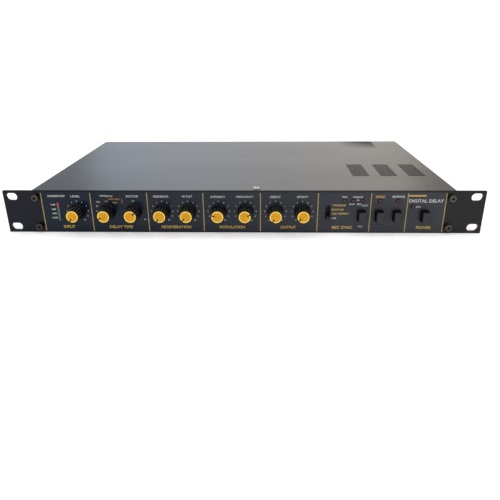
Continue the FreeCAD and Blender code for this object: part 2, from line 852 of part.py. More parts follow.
def main_board():
    z0, z1 = main_board_bottom, main_board_top
    wide = block(-main_board_side, main_board_side, main_board_front, bay_front, z0, z1)
    tail = block(-main_board_side, bay_left, bay_front, main_board_rear, z0, z1)
    board = wide.fuse(tail).removeSplitter()
    hole = support_tip_radius + support_tip_gap
    holes = [post(hole, x, y, z0 - overcut, z1 + overcut) for x, y in support_places()]
    return [board.cut(Part.makeCompound(holes))]


def board_supports():
    supports = []
    for x, y in support_places():
        column = post(support_radius, x, y, floor_top, main_board_bottom)
        tip = post(support_tip_radius, x, y, main_board_bottom, main_board_top + support_tip_stand)
        supports.append(column.fuse(tip))
    return supports


def chip(x, y, length, width):
    z0 = main_board_top + chip_lift
    top = z0 + chip_height
    body = block(x - length / 2, x + length / 2, y - width / 2, y + width / 2, z0, top)
    notch = post(chip_notch_radius, x - length / 2, y, top - chip_notch_depth, top + overcut)
    legs = []
    leg_top = z0 + chip_height / 2
    count = int(length / chip_lead_pitch)
    for k in range(count):
        leg_x = x + (k - (count - 1) / 2) * chip_lead_pitch
        for leg_y in (y - width / 2, y + width / 2):
            legs.append(
                block(
                    leg_x - chip_lead_width / 2, leg_x + chip_lead_width / 2,
                    leg_y - chip_lead_thickness / 2, leg_y + chip_lead_thickness / 2, main_board_top, leg_top,
                )
            )
    return body.cut(notch).multiFuse(legs)


def logic_chips():
    """Small amplifiers at the front, two rows of memory chips, and the wide converters behind."""
    chips = []
    for length, width, count, first, pitch, rows in chip_rows:
        for row in rows:
            for k in range(count):
                x = first + pitch * spread * k - main_board_side
                chips.append(chip(x, main_board_front + row, length, width))
    return chips


def filter_capacitors():
    cans = []
    z0, z1 = main_board_top, inner_top - capacitor_cover_gap
    for place in capacitor_places:
        can = post(capacitor_radius, place * spread, capacitor_y, z0, z1)
        cans.append(can.makeFillet(capacitor_round, [can.Edges[0], can.Edges[2]]))
    return cans


def heat_sink():
    length = (heat_sink_fins - 1) * heat_sink_fin_pitch + heat_sink_fin
    x0 = heat_sink_place * spread - length / 2
    y0, y1 = heat_sink_y, heat_sink_y + heat_sink_base
    z0, z1 = main_board_top, inner_top - heat_sink_cover_gap
    base = block(x0, x0 + length, y0, y1, z0, z1)
    fins = []
    for k in range(heat_sink_fins):
        fin_x = x0 + k * heat_sink_fin_pitch
        fins.append(block(fin_x, fin_x + heat_sink_fin, y0 + overcut, y1 + heat_sink_fin_depth, z0, z1))
    return [base.multiFuse(fins).removeSplitter()]


# ---- transformer ----------------------------------------------------------------------------------
def transformer_core():
    """A stack of laminations with one window on each side of its middle limb."""
    x0, x1 = transformer_x - core_length / 2, transformer_x + core_length / 2
    y0, y1 = transformer_y - core_stack / 2, transformer_y + core_stack / 2
    core = block(x0, x1, y0, y1, floor_top, core_top)
    window_width = (core_length - 2 * core_limb) / 2
    windows = []
    for side in (-1, 1):
        x = transformer_x + side * (core_limb + window_width) / 2
        windows.append(
            block(
                x - window_width / 2, x + window_width / 2, y0 - overcut, y1 + overcut,
                floor_top + core_yoke, core_top - core_yoke,
            )
        )
    return [core.cut(Part.makeCompound(windows))]


def transformer_winding():
    z0, z1 = floor_top + core_yoke + winding_gap, core_top - core_yoke - winding_gap
    reach = (core_length - core_limb) / 2 - winding_gap
    depth = core_stack / 2 + winding_bulge
    coil = block(
        transformer_x - reach, transformer_x + reach, transformer_y - depth, transformer_y + depth, z0, z1
    )
    upright = [edge for edge in coil.Edges if edge.BoundBox.ZLength > z1 - z0 - 0.01]
    coil = coil.makeFillet(winding_round, upright)
    limb = core_limb / 2 + winding_gap
    stack = core_stack / 2 + winding_gap
    x0, x1 = transformer_x - limb, transformer_x + limb
    y0, y1 = transformer_y - stack, transformer_y + stack
    return [coil.cut(block(x0, x1, y0, y1, z0 - overcut, z1 + overcut))]


# ---- sockets on the rear panel --------------------------------------------------------------------
def jack_bodies():
    jacks = []
    width = 2 * (jack_bushing_radius + jack_side_wall)
    top = jack_z + jack_bushing_radius + jack_top_wall
    end = body_depth + jack_bushing_reach
    for x in jack_x:
        body = block(
            x - width / 2, x + width / 2, jack_front, rear_inside, main_board_top + seat_gap, top
        )
        bushing = rod(jack_bushing_radius, x, jack_z, rear_inside - overcut, end)
        bore = rod(jack_bore_radius, x, jack_z, jack_front + jack_wall, end + overcut)
        jacks.append(body.fuse(bushing).cut(bore))
    return jacks


def jack_nuts():
    nuts = []
    y0, y1 = body_depth, body_depth + jack_nut_thickness
    for x in jack_x:
        nut = hexagon(2 * (jack_bushing_radius + jack_nut_wall), x, jack_z, y0, y1)
        thread = rod(jack_bushing_radius + tapped_clearance, x, jack_z, y0 - overcut, y1 + overcut)
        nuts.append(nut.cut(thread))
    return nuts


def inlet_mouth():
    """The recess that a mains connector goes into, with its two upper corners cut off."""
    side, top, corner = inlet_mouth_width / 2, inlet_mouth_height / 2, inlet_mouth_corner
    outline = [
        (-side, -top), (side, -top), (side, top - corner), (side - corner, top), (corner - side, top),
        (-side, top - corner),
    ]
    points = [Vector(inlet_x + x, inlet_face - inlet_mouth_depth, z) for x, z in outline]
    return Part.Face(Part.makePolygon(points + points[:1])).extrude(Vector(0, inlet_mouth_depth + overcut, 0))


def inlet_pins():
    foot = inlet_face - inlet_mouth_depth
    low = -inlet_pin_offset
    places = [(-inlet_pin_pitch, low), (0, inlet_pin_offset), (inlet_pin_pitch, low)]
    return [
        centred_block(
            inlet_x + x, z, inlet_pin_width, inlet_pin_height, foot - overcut, foot + inlet_pin_length
        )
        for x, z in places
    ]


def mains_inlet():
    back = inlet_face - inlet_mouth_depth - inlet_back_wall
    flange_width = 2 * (inlet_screw_offset + inlet_screw_edge)
    flange_height = inlet_body_height + 2 * inlet_flange_edge
    flange = centred_block(inlet_x, 0, flange_width, flange_height, body_depth, inlet_face)
    flange = round_edges(flange, inlet_flange_corner, lambda middle, way: along_y(way))
    body = centred_block(inlet_x, 0, inlet_body_width, inlet_body_height, back, inlet_face)
    holes = [
        rod(m3_radius + through_clearance, x, z, body_depth - overcut, inlet_face + overcut)
        for x, z in inlet_screw_places()
    ]
    inlet = flange.fuse(body).cut(Part.makeCompound(holes + [inlet_mouth()]))
    return [inlet.multiFuse(inlet_pins())]


# ---- write every piece ----------------------------------------------------------------------------
def main():
    os.makedirs("parts", exist_ok=True)
    export("front_panel", front_panel())
    export("chassis_pan", chassis_pan())
    export("side_rails", [side_rail(-1), side_rail(1)])
    export("rear_panel", rear_panel())
    export("top_cover", top_cover())
    export("panel_screws", panel_screws())
    export("cover_screws", cover_screws())
    export("rear_screws", rear_screws())
    export("floor_screws", floor_screws())
    export("pot_bodies", pot_bodies())
    export("rotary_switch_body", rotary_switch_body())
    export("control_nuts", control_nuts())
    for name, x, angle in zip(knob_names, knob_x, knob_angle):
        export("shaft_" + name, shaft(x, angle))
        export("knob_" + name, knob(x, angle))
        export("knob_cap_" + name, knob_cap(x, angle))
    for name, x in zip(button_names, button_x):
        export("button_" + name, button(x))
    export("switch_bodies", switch_bodies())
    export("slide_lever", slide_lever())
    export("slide_switch_body", slide_switch_body())
    export("indicator_lamps", indicator_lamps())
    export("meter_lamp_red", [meter_lamp(0)])
    export("meter_lamps_green", [meter_lamp(number) for number in range(1, meter_lamps)])
    export("control_board", control_board())
    export("main_board", main_board())
    export("board_supports", board_supports())
    export("logic_chips", logic_chips())
    export("filter_capacitors", filter_capacitors())
    export("heat_sink", heat_sink())
    export("transformer_core", transformer_core())
    export("transformer_winding", transformer_winding())
    export("jack_bodies", jack_bodies())
    export("jack_nuts", jack_nuts())
    export("mains_inlet", mains_inlet())


main()
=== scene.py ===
import math

import bmesh
import bpy
from mathutils import Matrix, Vector


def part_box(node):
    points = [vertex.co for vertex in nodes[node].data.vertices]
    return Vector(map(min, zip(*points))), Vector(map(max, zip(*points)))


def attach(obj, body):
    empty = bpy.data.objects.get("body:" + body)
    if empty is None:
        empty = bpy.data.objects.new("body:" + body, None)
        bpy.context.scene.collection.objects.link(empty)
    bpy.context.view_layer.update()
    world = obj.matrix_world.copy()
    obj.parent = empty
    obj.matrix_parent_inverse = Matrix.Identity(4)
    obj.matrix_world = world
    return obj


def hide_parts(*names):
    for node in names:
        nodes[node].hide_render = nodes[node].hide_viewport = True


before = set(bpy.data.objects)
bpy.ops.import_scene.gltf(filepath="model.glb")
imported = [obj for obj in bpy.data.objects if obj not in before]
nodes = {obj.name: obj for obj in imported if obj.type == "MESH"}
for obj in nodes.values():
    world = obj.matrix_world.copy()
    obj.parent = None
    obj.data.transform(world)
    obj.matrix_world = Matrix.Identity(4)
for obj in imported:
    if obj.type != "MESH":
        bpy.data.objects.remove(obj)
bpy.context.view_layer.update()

mm = 0.001

panelLow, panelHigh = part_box("front_panel")
coverLow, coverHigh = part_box("top_cover")
floorHeight = panelLow.z
print("frame loaded:", len(nodes), "nodes")


# helpers for the finishes' nodes
def startMaterial(name, values):
    # values: socket name on the shader -> a constant
    material = bpy.data.materials.new(name)
    material.use_nodes = True
    tree = material.node_tree
    shader = tree.nodes["Principled BSDF"]
    for socket, value in values.items():
        shader.inputs[socket].default_value = value
    return material, tree, shader


def objectCoords(tree, scale=(1, 1, 1), turn=(0, 0, 0)):
    coords = tree.nodes.new("ShaderNodeTexCoord")
    mapping = tree.nodes.new("ShaderNodeMapping")
    mapping.inputs["Scale"].default_value = scale
    mapping.inputs["Rotation"].default_value = turn
    tree.links.new(coords.outputs["Object"], mapping.inputs["Vector"])
    return mapping.outputs["Vector"]


def noise(tree, vector, scale, detail=3.0, roughness=0.55):
    node = tree.nodes.new("ShaderNodeTexNoise")
    node.inputs["Scale"].default_value = scale
    node.inputs["Detail"].default_value = detail
    node.inputs["Roughness"].default_value = roughness
    tree.links.new(vector, node.inputs["Vector"])
    return node.outputs["Fac"]


def remap(tree, value, fromLow, fromHigh, toLow=0.0, toHigh=1.0):
    node = tree.nodes.new("ShaderNodeMapRange")
    limits = {"From Min": fromLow, "From Max": fromHigh, "To Min": toLow, "To Max": toHigh}
    for socket, limit in limits.items():
        node.inputs[socket].default_value = limit
    tree.links.new(value, node.inputs["Value"])
    return node.outputs["Result"]


def patches(tree, vector, scale, detail, start, full, least=0.0, most=1.0, roughness=0.55):
    # noise that rises from least, where it reaches start, to most, where it reaches full
    return remap(tree, noise(tree, vector, scale, detail, roughness), start, full, least, most)


def maths(tree, operation, first, second=None):
    node = tree.nodes.new("ShaderNodeMath")
    node.operation = operation
    for socket, value in zip(node.inputs, (first, second)):
        if value is None:
            continue
        if isinstance(value, (int, float)):
            socket.default_value = value
        else:
            tree.links.new(value, socket)
    return node.outputs["Value"]


mixInputs, mixOutput = (0, 6, 7), 2  # a mix node's sockets when it mixes colours


def mixColour(tree, factor, first, second):
    node = tree.nodes.new("ShaderNodeMix")
    node.data_type = "RGBA"
    factorSocket, firstSocket, secondSocket = (node.inputs[index] for index in mixInputs)
    for socket, value in ((factorSocket, factor), (firstSocket, first), (secondSocket, second)):
        if isinstance(value, (int, float)):
            socket.default_value = value
        elif isinstance(value, tuple):
            socket.default_value = (*value, 1.0)
        else:
            tree.links.new(value, socket)
    return node.outputs[mixOutput]


def bump(tree, shader, height, strength, distance):
    node = tree.nodes.new("ShaderNodeBump")
    node.inputs["Strength"].default_value = strength
    node.inputs["Distance"].default_value = distance
    tree.links.new(height, node.inputs["Height"])
    tree.links.new(node.outputs["Normal"], shader.inputs["Normal"])


def splitCoords(tree, vector):
    node = tree.nodes.new("ShaderNodeSeparateXYZ")
    tree.links.new(vector, node.inputs["Vector"])
    return node.outputs["X"], node.outputs["Y"], node.outputs["Z"]


def inBand(tree, value, low, high, soft):
    # 1 between low and high, falling to 0 over a soft edge
    rise = remap(tree, value, low - soft, low + soft)
    fall = remap(tree, value, high - soft, high + soft, 1.0, 0.0)
    return maths(tree, "MULTIPLY", rise, fall)


# the finishes: a pattern is (scale, detail, start, full, least, most, roughness) for patches()
grainHeight, paintHeight = 0.03 * mm, 0.02 * mm


def coverPaint():
    finish = {"base": (0.030, 0.031, 0.033), "worn": (0.040, 0.040, 0.040), "dust": (0.10, 0.097, 0.090),
              "speck": (0.015, 0.015, 0.016), "wear": (5, 2, 0.3, 0.75),
              "film": (380, 3, 0.35, 0.8, 0.0, 0.2), "specks": (620, 2, 0.66, 0.72, 0.0, 0.3, 0.4),
              "wiped": (5, 2, 0.3, 0.7, 0.26, 0.30), "wipe": (1, 3, 1), "shine": 0.5, "grain": 1200,
              "grainStrength": 0.04}
    # painted shade of a shallow dent behind the vents, which the cover's shape does not have: where it
    # starts, its right-hand crease, its reach from the rear edge
    paintedDentShade = {"left": 0.128, "right": 0.170, "crease": 0.178, "soft": 0.0005, "reach": 0.050, "end": 0.004,
            "colour": (0.010, 0.010, 0.010), "share": 0.8, "dull": 0.4}
    material, tree, shader = startMaterial("coverPaint", {"Specular IOR Level": finish["shine"]})
    vector = objectCoords(tree)
    x, y, z = splitCoords(tree, vector)
    base = mixColour(tree, patches(tree, vector, *finish["wear"]), finish["base"], finish["worn"])
    base = mixColour(tree, patches(tree, vector, *finish["film"]), base, finish["dust"])
    base = mixColour(tree, patches(tree, vector, *finish["specks"]), base, finish["speck"])
    crease = remap(tree, x, paintedDentShade["crease"] - paintedDentShade["soft"], paintedDentShade["crease"] + paintedDentShade["soft"], 1.0, 0.0)
    across = maths(tree, "MULTIPLY", remap(tree, x, paintedDentShade["left"], paintedDentShade["right"]), crease)
    along = remap(tree, y, coverHigh.y - paintedDentShade["reach"], coverHigh.y - paintedDentShade["end"])
    dentShadeMask = maths(tree, "MULTIPLY", across, along)
    base = mixColour(tree, maths(tree, "MULTIPLY", dentShadeMask, paintedDentShade["share"]), base, paintedDentShade["colour"])
    tree.links.new(base, shader.inputs["Base Color"])
    wiped = patches(tree, objectCoords(tree, finish["wipe"]), *finish["wiped"])
    dulled = maths(tree, "MULTIPLY", dentShadeMask, paintedDentShade["dull"])
    tree.links.new(maths(tree, "ADD", wiped, dulled), shader.inputs["Roughness"])
    bump(tree, shader, noise(tree, vector, finish["grain"], 2), finish["grainStrength"], paintHeight)
    return material


def panelPaint():
    # painted light: the colour is made paler to the right, over the span of x in fade, standing in for light
    # falling from the right
    finish = {"field": (0.003, 0.008, 0.021), "fieldLitRight": (0.035, 0.039, 0.048),
              "ends": (0.001, 0.002, 0.008), "endsLitRight": (0.011, 0.011, 0.012), "fade": (-0.15, 0.17),
              "dust": (0.05, 0.05, 0.05), "film": (0.45, 0.8, 0.0, 0.12),
              "polish": (14, 4, 0.3, 0.7, 0.15, 0.22), "grain": 700, "grainStrength": 0.12}
    # the printed fields end at end; margin is the plain strip above and below them
    fields = {"end": 0.2025, "margin": 0.0012, "soft": 0.0001}
    # the upper edge is dull
    topEdge = {"start": 0.0005, "full": 0.0002, "shine": (0.18, 0.02)}
    # a little bare metal at the two ends, where the panel has been handled
    chipped = {"width": 0.0005, "chips": (160, 4, 0.64, 0.70, 0.0, 1.0, 0.7), "colour": (0.30, 0.30, 0.30)}
    material, tree, shader = startMaterial("panelPaint", {})
    vector = objectCoords(tree)
    x, y, z = splitCoords(tree, vector)
    grain = noise(tree, vector, finish["grain"], 2)
    field = mixColour(tree, remap(tree, x, *finish["fade"]), finish["field"], finish["fieldLitRight"])
    ends = mixColour(tree, remap(tree, x, *finish["fade"]), finish["ends"], finish["endsLitRight"])
    bottom, top = panelLow.z + fields["margin"], panelHigh.z - fields["margin"]
    inside = maths(tree, "MULTIPLY", inBand(tree, x, -fields["end"], fields["end"], fields["soft"]),
                   inBand(tree, z, bottom, top, fields["soft"]))
    base = mixColour(tree, inside, ends, field)
    base = mixColour(tree, remap(tree, grain, *finish["film"]), base, finish["dust"])
    shine = remap(tree, z, panelHigh.z - topEdge["start"], panelHigh.z - topEdge["full"], *topEdge["shine"])
    tree.links.new(shine, shader.inputs["Specular IOR Level"])
    edge = remap(tree, maths(tree, "ABSOLUTE", x), panelHigh.x - chipped["width"], panelHigh.x)
    chips = patches(tree, vector, *chipped["chips"])
    base = mixColour(tree, maths(tree, "MULTIPLY", edge, chips), base, chipped["colour"])
    tree.links.new(base, shader.inputs["Base Color"])
    tree.links.new(patches(tree, vector, *finish["polish"]), shader.inputs["Roughness"])
    bump(tree, shader, grain, finish["grainStrength"], paintHeight)
    return material


def capPaint():
    # painted highlight: the cap's raised rim is made paler than its face, standing in for the light its bevel
    # catches; rimDepth is where one gives way to the other
    finish = {"face": (0.56, 0.255, 0.003), "faceLight": (0.68, 0.34, 0.005), "rim": (0.92, 0.68, 0.14),
              "speck": (0.36, 0.17, 0.003), "cloud": (420, 3, 0.35, 0.7),
              "specks": (900, 2, 0.58, 0.68, 0.0, 0.4), "rimDepth": (0.05 * mm, 0.11 * mm), "shine": 0.2,
              "rough": 0.45, "grain": 1400, "grainStrength": 0.2}
    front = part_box("knob_cap_level")[0].y
    material, tree, shader = startMaterial("capOrange", {"Specular IOR Level": finish["shine"],
                                                         "Roughness": finish["rough"]})
    vector = objectCoords(tree)
    x, y, z = splitCoords(tree, vector)
    rimHighlightMask = remap(tree, y, *(front + depth for depth in finish["rimDepth"]), 1.0, 0.0)
    base = mixColour(tree, patches(tree, vector, *finish["cloud"]), finish["face"], finish["faceLight"])
    base = mixColour(tree, patches(tree, vector, *finish["specks"]), base, finish["speck"])
    tree.links.new(mixColour(tree, rimHighlightMask, base, finish["rim"]), shader.inputs["Base Color"])
    bump(tree, shader, noise(tree, vector, finish["grain"], 2), finish["grainStrength"], grainHeight)
    return material


def buttonPlastic():
    # painted reflection: the button's face is made paler than its black body, standing in for the bright room
    # reflected in it; the paler colour ends between the two depths given below, behind the front
    finish = {"face": (0.024, 0.025, 0.026), "faceLight": (0.038, 0.039, 0.040),
              "body": (0.003, 0.003, 0.003), "litFaceDepth": (0.60 * mm, 0.66 * mm),
              "cloud": (240, 3, 0.35, 0.7), "rough": (0.36, 0.5),
              "shine": 0.2, "grain": 1100, "grainStrength": 0.3}
    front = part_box("button_hold")[0].y
    material, tree, shader = startMaterial("buttonPlastic", {"Specular IOR Level": finish["shine"]})
    vector = objectCoords(tree)
    x, y, z = splitCoords(tree, vector)
    paintedLitFace = remap(tree, y, *(front + depth for depth in finish["litFaceDepth"]), 1.0, 0.0)
    cloud = patches(tree, vector, *finish["cloud"])
    base = mixColour(tree, cloud, finish["face"], finish["faceLight"])
    tree.links.new(mixColour(tree, paintedLitFace, finish["body"], base), shader.inputs["Base Color"])
    tree.links.new(remap(tree, cloud, 0.0, 1.0, *finish["rough"]), shader.inputs["Roughness"])
    bump(tree, shader, noise(tree, vector, finish["grain"], 2), finish["grainStrength"], grainHeight)
    return material


def moulded(name, colour, light, rough, grainSize=900, shine=0.5):
    # moulded plastic: fine spark texture, slight handling polish
    finish = {"cloud": 60, "paling": (0.35, 0.75), "handled": (0.3, 0.7), "polish": 0.08,
              "grainStrength": 0.3}
    material, tree, shader = startMaterial(name, {"Specular IOR Level": shine})
    vector = objectCoords(tree)
    cloud = noise(tree, vector, finish["cloud"], 4)
    base = mixColour(tree, remap(tree, cloud, *finish["paling"]), colour, light)
    tree.links.new(base, shader.inputs["Base Color"])
    roughness = remap(tree, cloud, *finish["handled"], rough - finish["polish"], rough + finish["polish"])
    tree.links.new(roughness, shader.inputs["Roughness"])
    bump(tree, shader, noise(tree, vector, grainSize, 2), finish["grainStrength"], grainHeight)
    return material


def plated(name, colour, dark, rough, stretch=(1, 1, 1)):
    # metal with a drawn or turned grain and a little tarnish
    finish = {"tarnish": (45, 5, 0.45, 0.75), "drawn": (260, 4, 0.6), "brushed": (0.3, 0.7), "polish": 0.1,
              "grainStrength": 0.15}
    material, tree, shader = startMaterial(name, {"Metallic": 1.0})
    grain = noise(tree, objectCoords(tree, stretch), *finish["drawn"])
    base = mixColour(tree, patches(tree, objectCoords(tree), *finish["tarnish"]), colour, dark)
    tree.links.new(base, shader.inputs["Base Color"])
    roughness = remap(tree, grain, *finish["brushed"], rough - finish["polish"], rough + finish["polish"])
    tree.links.new(roughness, shader.inputs["Roughness"])
    bump(tree, shader, grain, finish["grainStrength"], grainHeight)
    return material


def ink(name, colour, worn):
    # silk-screened ink, a little uneven
    finish = {"patchy": (700, 3, 0.35, 0.7), "rough": (0.65, 0.45), "shine": 0.3}
    material, tree, shader = startMaterial(name, {"Specular IOR Level": finish["shine"]})
    patchy = patches(tree, objectCoords(tree), *finish["patchy"])
    tree.links.new(mixColour(tree, patchy, worn, colour), shader.inputs["Base Color"])
    tree.links.new(remap(tree, patchy, 0.0, 1.0, *finish["rough"]), shader.inputs["Roughness"])
    return material


def lens(name, colour, deep):
    # tinted resin, a little cloudy
    finish = {"swirl": (420, 3, 0.3, 0.7), "rippleStrength": 0.1}
    resin = {"Roughness": 0.18, "Coat Weight": 0.5, "Coat Roughness": 0.08, "Subsurface Weight": 0.15,
             "Subsurface Scale": 0.001}
    material, tree, shader = startMaterial(name, resin)
    swirl = patches(tree, objectCoords(tree), *finish["swirl"])
    tree.links.new(mixColour(tree, swirl, deep, colour), shader.inputs["Base Color"])
    bump(tree, shader, swirl, finish["rippleStrength"], paintHeight)
    return material


def laminate():
    # circuit board, with tracks under its lacquer
    finish = {"board": (0.03, 0.12, 0.05), "track": (0.06, 0.20, 0.08), "tracks": 120, "wander": 3,
              "trackEdge": (0.55, 0.6), "trackStrength": 0.2}
    material, tree, shader = startMaterial("laminate", {"Roughness": 0.35, "Coat Weight": 0.3})
    wave = tree.nodes.new("ShaderNodeTexWave")
    wave.inputs["Scale"].default_value = finish["tracks"]
    wave.inputs["Distortion"].default_value = finish["wander"]
    tree.links.new(objectCoords(tree), wave.inputs["Vector"])
    tracks = remap(tree, wave.outputs["Fac"], *finish["trackEdge"])
    tree.links.new(mixColour(tree, tracks, finish["board"], finish["track"]), shader.inputs["Base Color"])
    bump(tree, shader, tracks, finish["trackStrength"], grainHeight)
    return material


# moulded: colour, paler colour, roughness, grain size, shine
# plated: colour, tarnished colour, roughness, stretch
finishes = {
    "cover": coverPaint(),
    "panel": panelPaint(),
    "rearPaint": moulded("rearPaint", (0.018, 0.018, 0.020), (0.030, 0.030, 0.032), 0.48, 700),
    "panSteel": plated("panSteel", (0.62, 0.61, 0.58), (0.45, 0.44, 0.41), 0.38, (1, 12, 1)),
    "railAluminium": plated("railAluminium", (0.75, 0.75, 0.76), (0.6, 0.6, 0.6), 0.34, (1, 14, 1)),
    "screwBlack": plated("screwBlack", (0.085, 0.080, 0.066), (0.030, 0.029, 0.027), 0.42),
    "screwZinc": plated("screwZinc", (0.66, 0.62, 0.50), (0.36, 0.33, 0.26), 0.34),
    "nickel": plated("nickel", (0.76, 0.75, 0.72), (0.55, 0.53, 0.50), 0.26),
    "shaftMetal": plated("shaftMetal", (0.78, 0.77, 0.75), (0.6, 0.59, 0.56), 0.3),
    "knobBlack": moulded("knobBlack", (0.0015, 0.0015, 0.002), (0.004, 0.004, 0.004), 0.34, 1100, 0.14),
    # painted highlight: the ridges' paler colour stands in for the highlights they catch
    "ridgeHighlight": moulded("ridgeHighlight", (0.075, 0.075, 0.068), (0.12, 0.12, 0.108), 0.4, 1100, 0.3),
    "capOrange": capPaint(),
    "buttonPlastic": buttonPlastic(),
    "bezelBlack": moulded("bezelBlack", (0.003, 0.003, 0.003), (0.007, 0.007, 0.007), 0.4, 1000, 0.2),
    "leverBlack": moulded("leverBlack", (0.008, 0.008, 0.008), (0.020, 0.020, 0.020), 0.42, 1000, 0.3),
    "switchBody": moulded("switchBody", (0.020, 0.020, 0.022), (0.035, 0.035, 0.036), 0.5, 900),
    "jackBlack": moulded("jackBlack", (0.014, 0.014, 0.015), (0.026, 0.026, 0.026), 0.45, 900),
    "inletBlack": moulded("inletBlack", (0.012, 0.012, 0.012), (0.024, 0.024, 0.024), 0.38, 900),
    "nylon": moulded("nylon", (0.70, 0.69, 0.64), (0.78, 0.77, 0.73), 0.5, 900),
    "chipBlack": moulded("chipBlack", (0.014, 0.014, 0.014), (0.024, 0.024, 0.024), 0.55, 1400),
    "sleeve": moulded("sleeve", (0.012, 0.018, 0.055), (0.02, 0.03, 0.08), 0.3, 900),
    "anodised": plated("anodised", (0.03, 0.03, 0.03), (0.05, 0.05, 0.05), 0.5, (1, 1, 14)),
    "coreSteel": plated("coreSteel", (0.20, 0.18, 0.16), (0.10, 0.09, 0.08), 0.5, (1, 40, 1)),
    "windingTape": moulded("windingTape", (0.55, 0.36, 0.05), (0.66, 0.45, 0.08), 0.45, 500),
    "lampRed": lens("lampRed", (0.11, 0.004, 0.007), (0.04, 0.002, 0.003)),
    "meterRed": lens("meterRed", (0.30, 0.010, 0.035), (0.17, 0.006, 0.018)),
    "meterGreen": lens("meterGreen", (0.020, 0.105, 0.070), (0.010, 0.060, 0.040)),
    "laminate": laminate(),
    "inkWhite": ink("inkWhite", (0.62, 0.62, 0.58), (0.42, 0.42, 0.40)),
    "inkYellow": ink("inkYellow", (0.62, 0.40, 0.07), (0.42, 0.27, 0.06)),
    "inkGold": ink("inkGold", (0.40, 0.30, 0.10), (0.28, 0.21, 0.08)),
}
print("finishes made:", len(finishes))

knobNames = [name[len("knob_cap_"):] for name in sorted(nodes) if name.startswith("knob_cap_")]
buttonNames = [name[len("button_"):] for name in sorted(nodes) if name.startswith("button_")]

finishOfNode = {
    "top_cover": "cover", "front_panel": "panel", "chassis_pan": "panSteel", "rear_panel": "rearPaint",
    "side_rails": "railAluminium", "panel_screws": "screwBlack", "cover_screws": "screwZinc",
    "rear_screws": "screwZinc", "floor_screws": "screwZinc", "pot_bodies": "nickel",
    "rotary_switch_body": "switchBody", "control_nuts": "nickel", "switch_bodies": "switchBody",
    "slide_switch_body": "switchBody", "slide_lever": "leverBlack", "indicator_lamps": "lampRed",
    "meter_lamp_red": "meterRed", "meter_lamps_green": "meterGreen", "control_board": "laminate",
    "main_board": "laminate", "board_supports": "nylon", "logic_chips": "chipBlack",
    "filter_capacitors": "sleeve", "heat_sink": "anodised", "transformer_core": "coreSteel",
    "transformer_winding": "windingTape", "jack_bodies": "jackBlack", "jack_nuts": "nickel",
    "mains_inlet": "inletBlack",
}
for name in knobNames:
    finishOfNode["knob_" + name] = "knobBlack"
    finishOfNode["knob_cap_" + name] = "capOrange"
    finishOfNode["shaft_" + name] = "shaftMetal"
for name in buttonNames:
    finishOfNode["button_" + name] = "buttonPlastic"
for name, finish in finishOfNode.items():
    nodes[name].data.materials.clear()
    nodes[name].data.materials.append(finishes[finish])


joinDistance, sharpAngle = 1e-7, math.radians(35)  # metres, radians


def addObject(name, data):
    thing = bpy.data.objects.new(name, data)
    bpy.context.scene.collection.objects.link(thing)
    return thing


def toMesh(bm, name):
    bmesh.ops.remove_doubles(bm, verts=bm.verts, dist=joinDistance)
    bmesh.ops.recalc_face_normals(bm, faces=bm.faces)
    mesh = bpy.data.meshes.new(name)
    bm.to_mesh(mesh)
    bm.free()
    return mesh


def newPiece(name, bm, finish, body, shading="crisp"):
    # shading: flat, smooth, or crisp, which is smooth except where faces meet at a sharp angle
    mesh = toMesh(bm, name)
    mesh.materials.append(finishes[finish])
    if shading != "flat":
        mesh.shade_smooth()
    if shading == "crisp":
        mesh.set_sharp_from_angle(angle=sharpAngle)
    piece = addObject(name, mesh)
    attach(piece, body)
    return piece


def addBox(bm, centre, size):
    made = bmesh.ops.create_cube(bm, size=1.0)
    bmesh.ops.scale(bm, vec=size, verts=made["verts"])
    bmesh.ops.translate(bm, vec=centre, verts=made["verts"])
    return made["verts"]


def middleOf(node):
    # the middle of a node as seen from the front, in metres
    low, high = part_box(node)
    return (low.x + high.x) / 2, (low.z + high.z) / 2


# the printing on the front panel
printing = {"lift": 0.02 * mm, "thick": 0.04 * mm, "curveSteps": 3, "extrude": 0.02, "wordWeight": 0.018,
            "headingWeight": 0.022, "numberWeight": 0.02, "smallWeight": 0.01}
printFace = panelLow.y - printing["lift"]


def addText(bm, text, x, z, width, height, weight):
    # x and z are the middle of the word; width and height are the whole word's
    curve = bpy.data.curves.new("word", "FONT")
    curve.body = text
    curve.resolution_u = printing["curveSteps"]
    curve.offset = weight
    curve.extrude = printing["extrude"]
    word = bpy.data.objects.new("word", curve)
    mesh = bpy.data.meshes.new_from_object(word)
    xs = [v.co.x for v in mesh.vertices]
    ys = [v.co.y for v in mesh.vertices]
    place = Matrix.Translation((x * mm, printFace, z * mm))
    stand = Matrix.Rotation(math.radians(90), 4, "X")
    size = Matrix.Diagonal((width * mm / (max(xs) - min(xs)), height * mm / (max(ys) - min(ys)),
                            printing["thick"] / (2 * printing["extrude"]), 1))
    middle = Matrix.Translation((-(max(xs) + min(xs)) / 2, -(max(ys) + min(ys)) / 2, 0))
    mesh.transform(place @ stand @ size @ middle)
    bm.from_mesh(mesh)
    bpy.data.meshes.remove(mesh)
    bpy.data.objects.remove(word)
    bpy.data.curves.remove(curve)


def addStroke(bm, x, z, width, height):
    addBox(bm, (x * mm, printFace, z * mm), (width * mm, printing["thick"], height * mm))


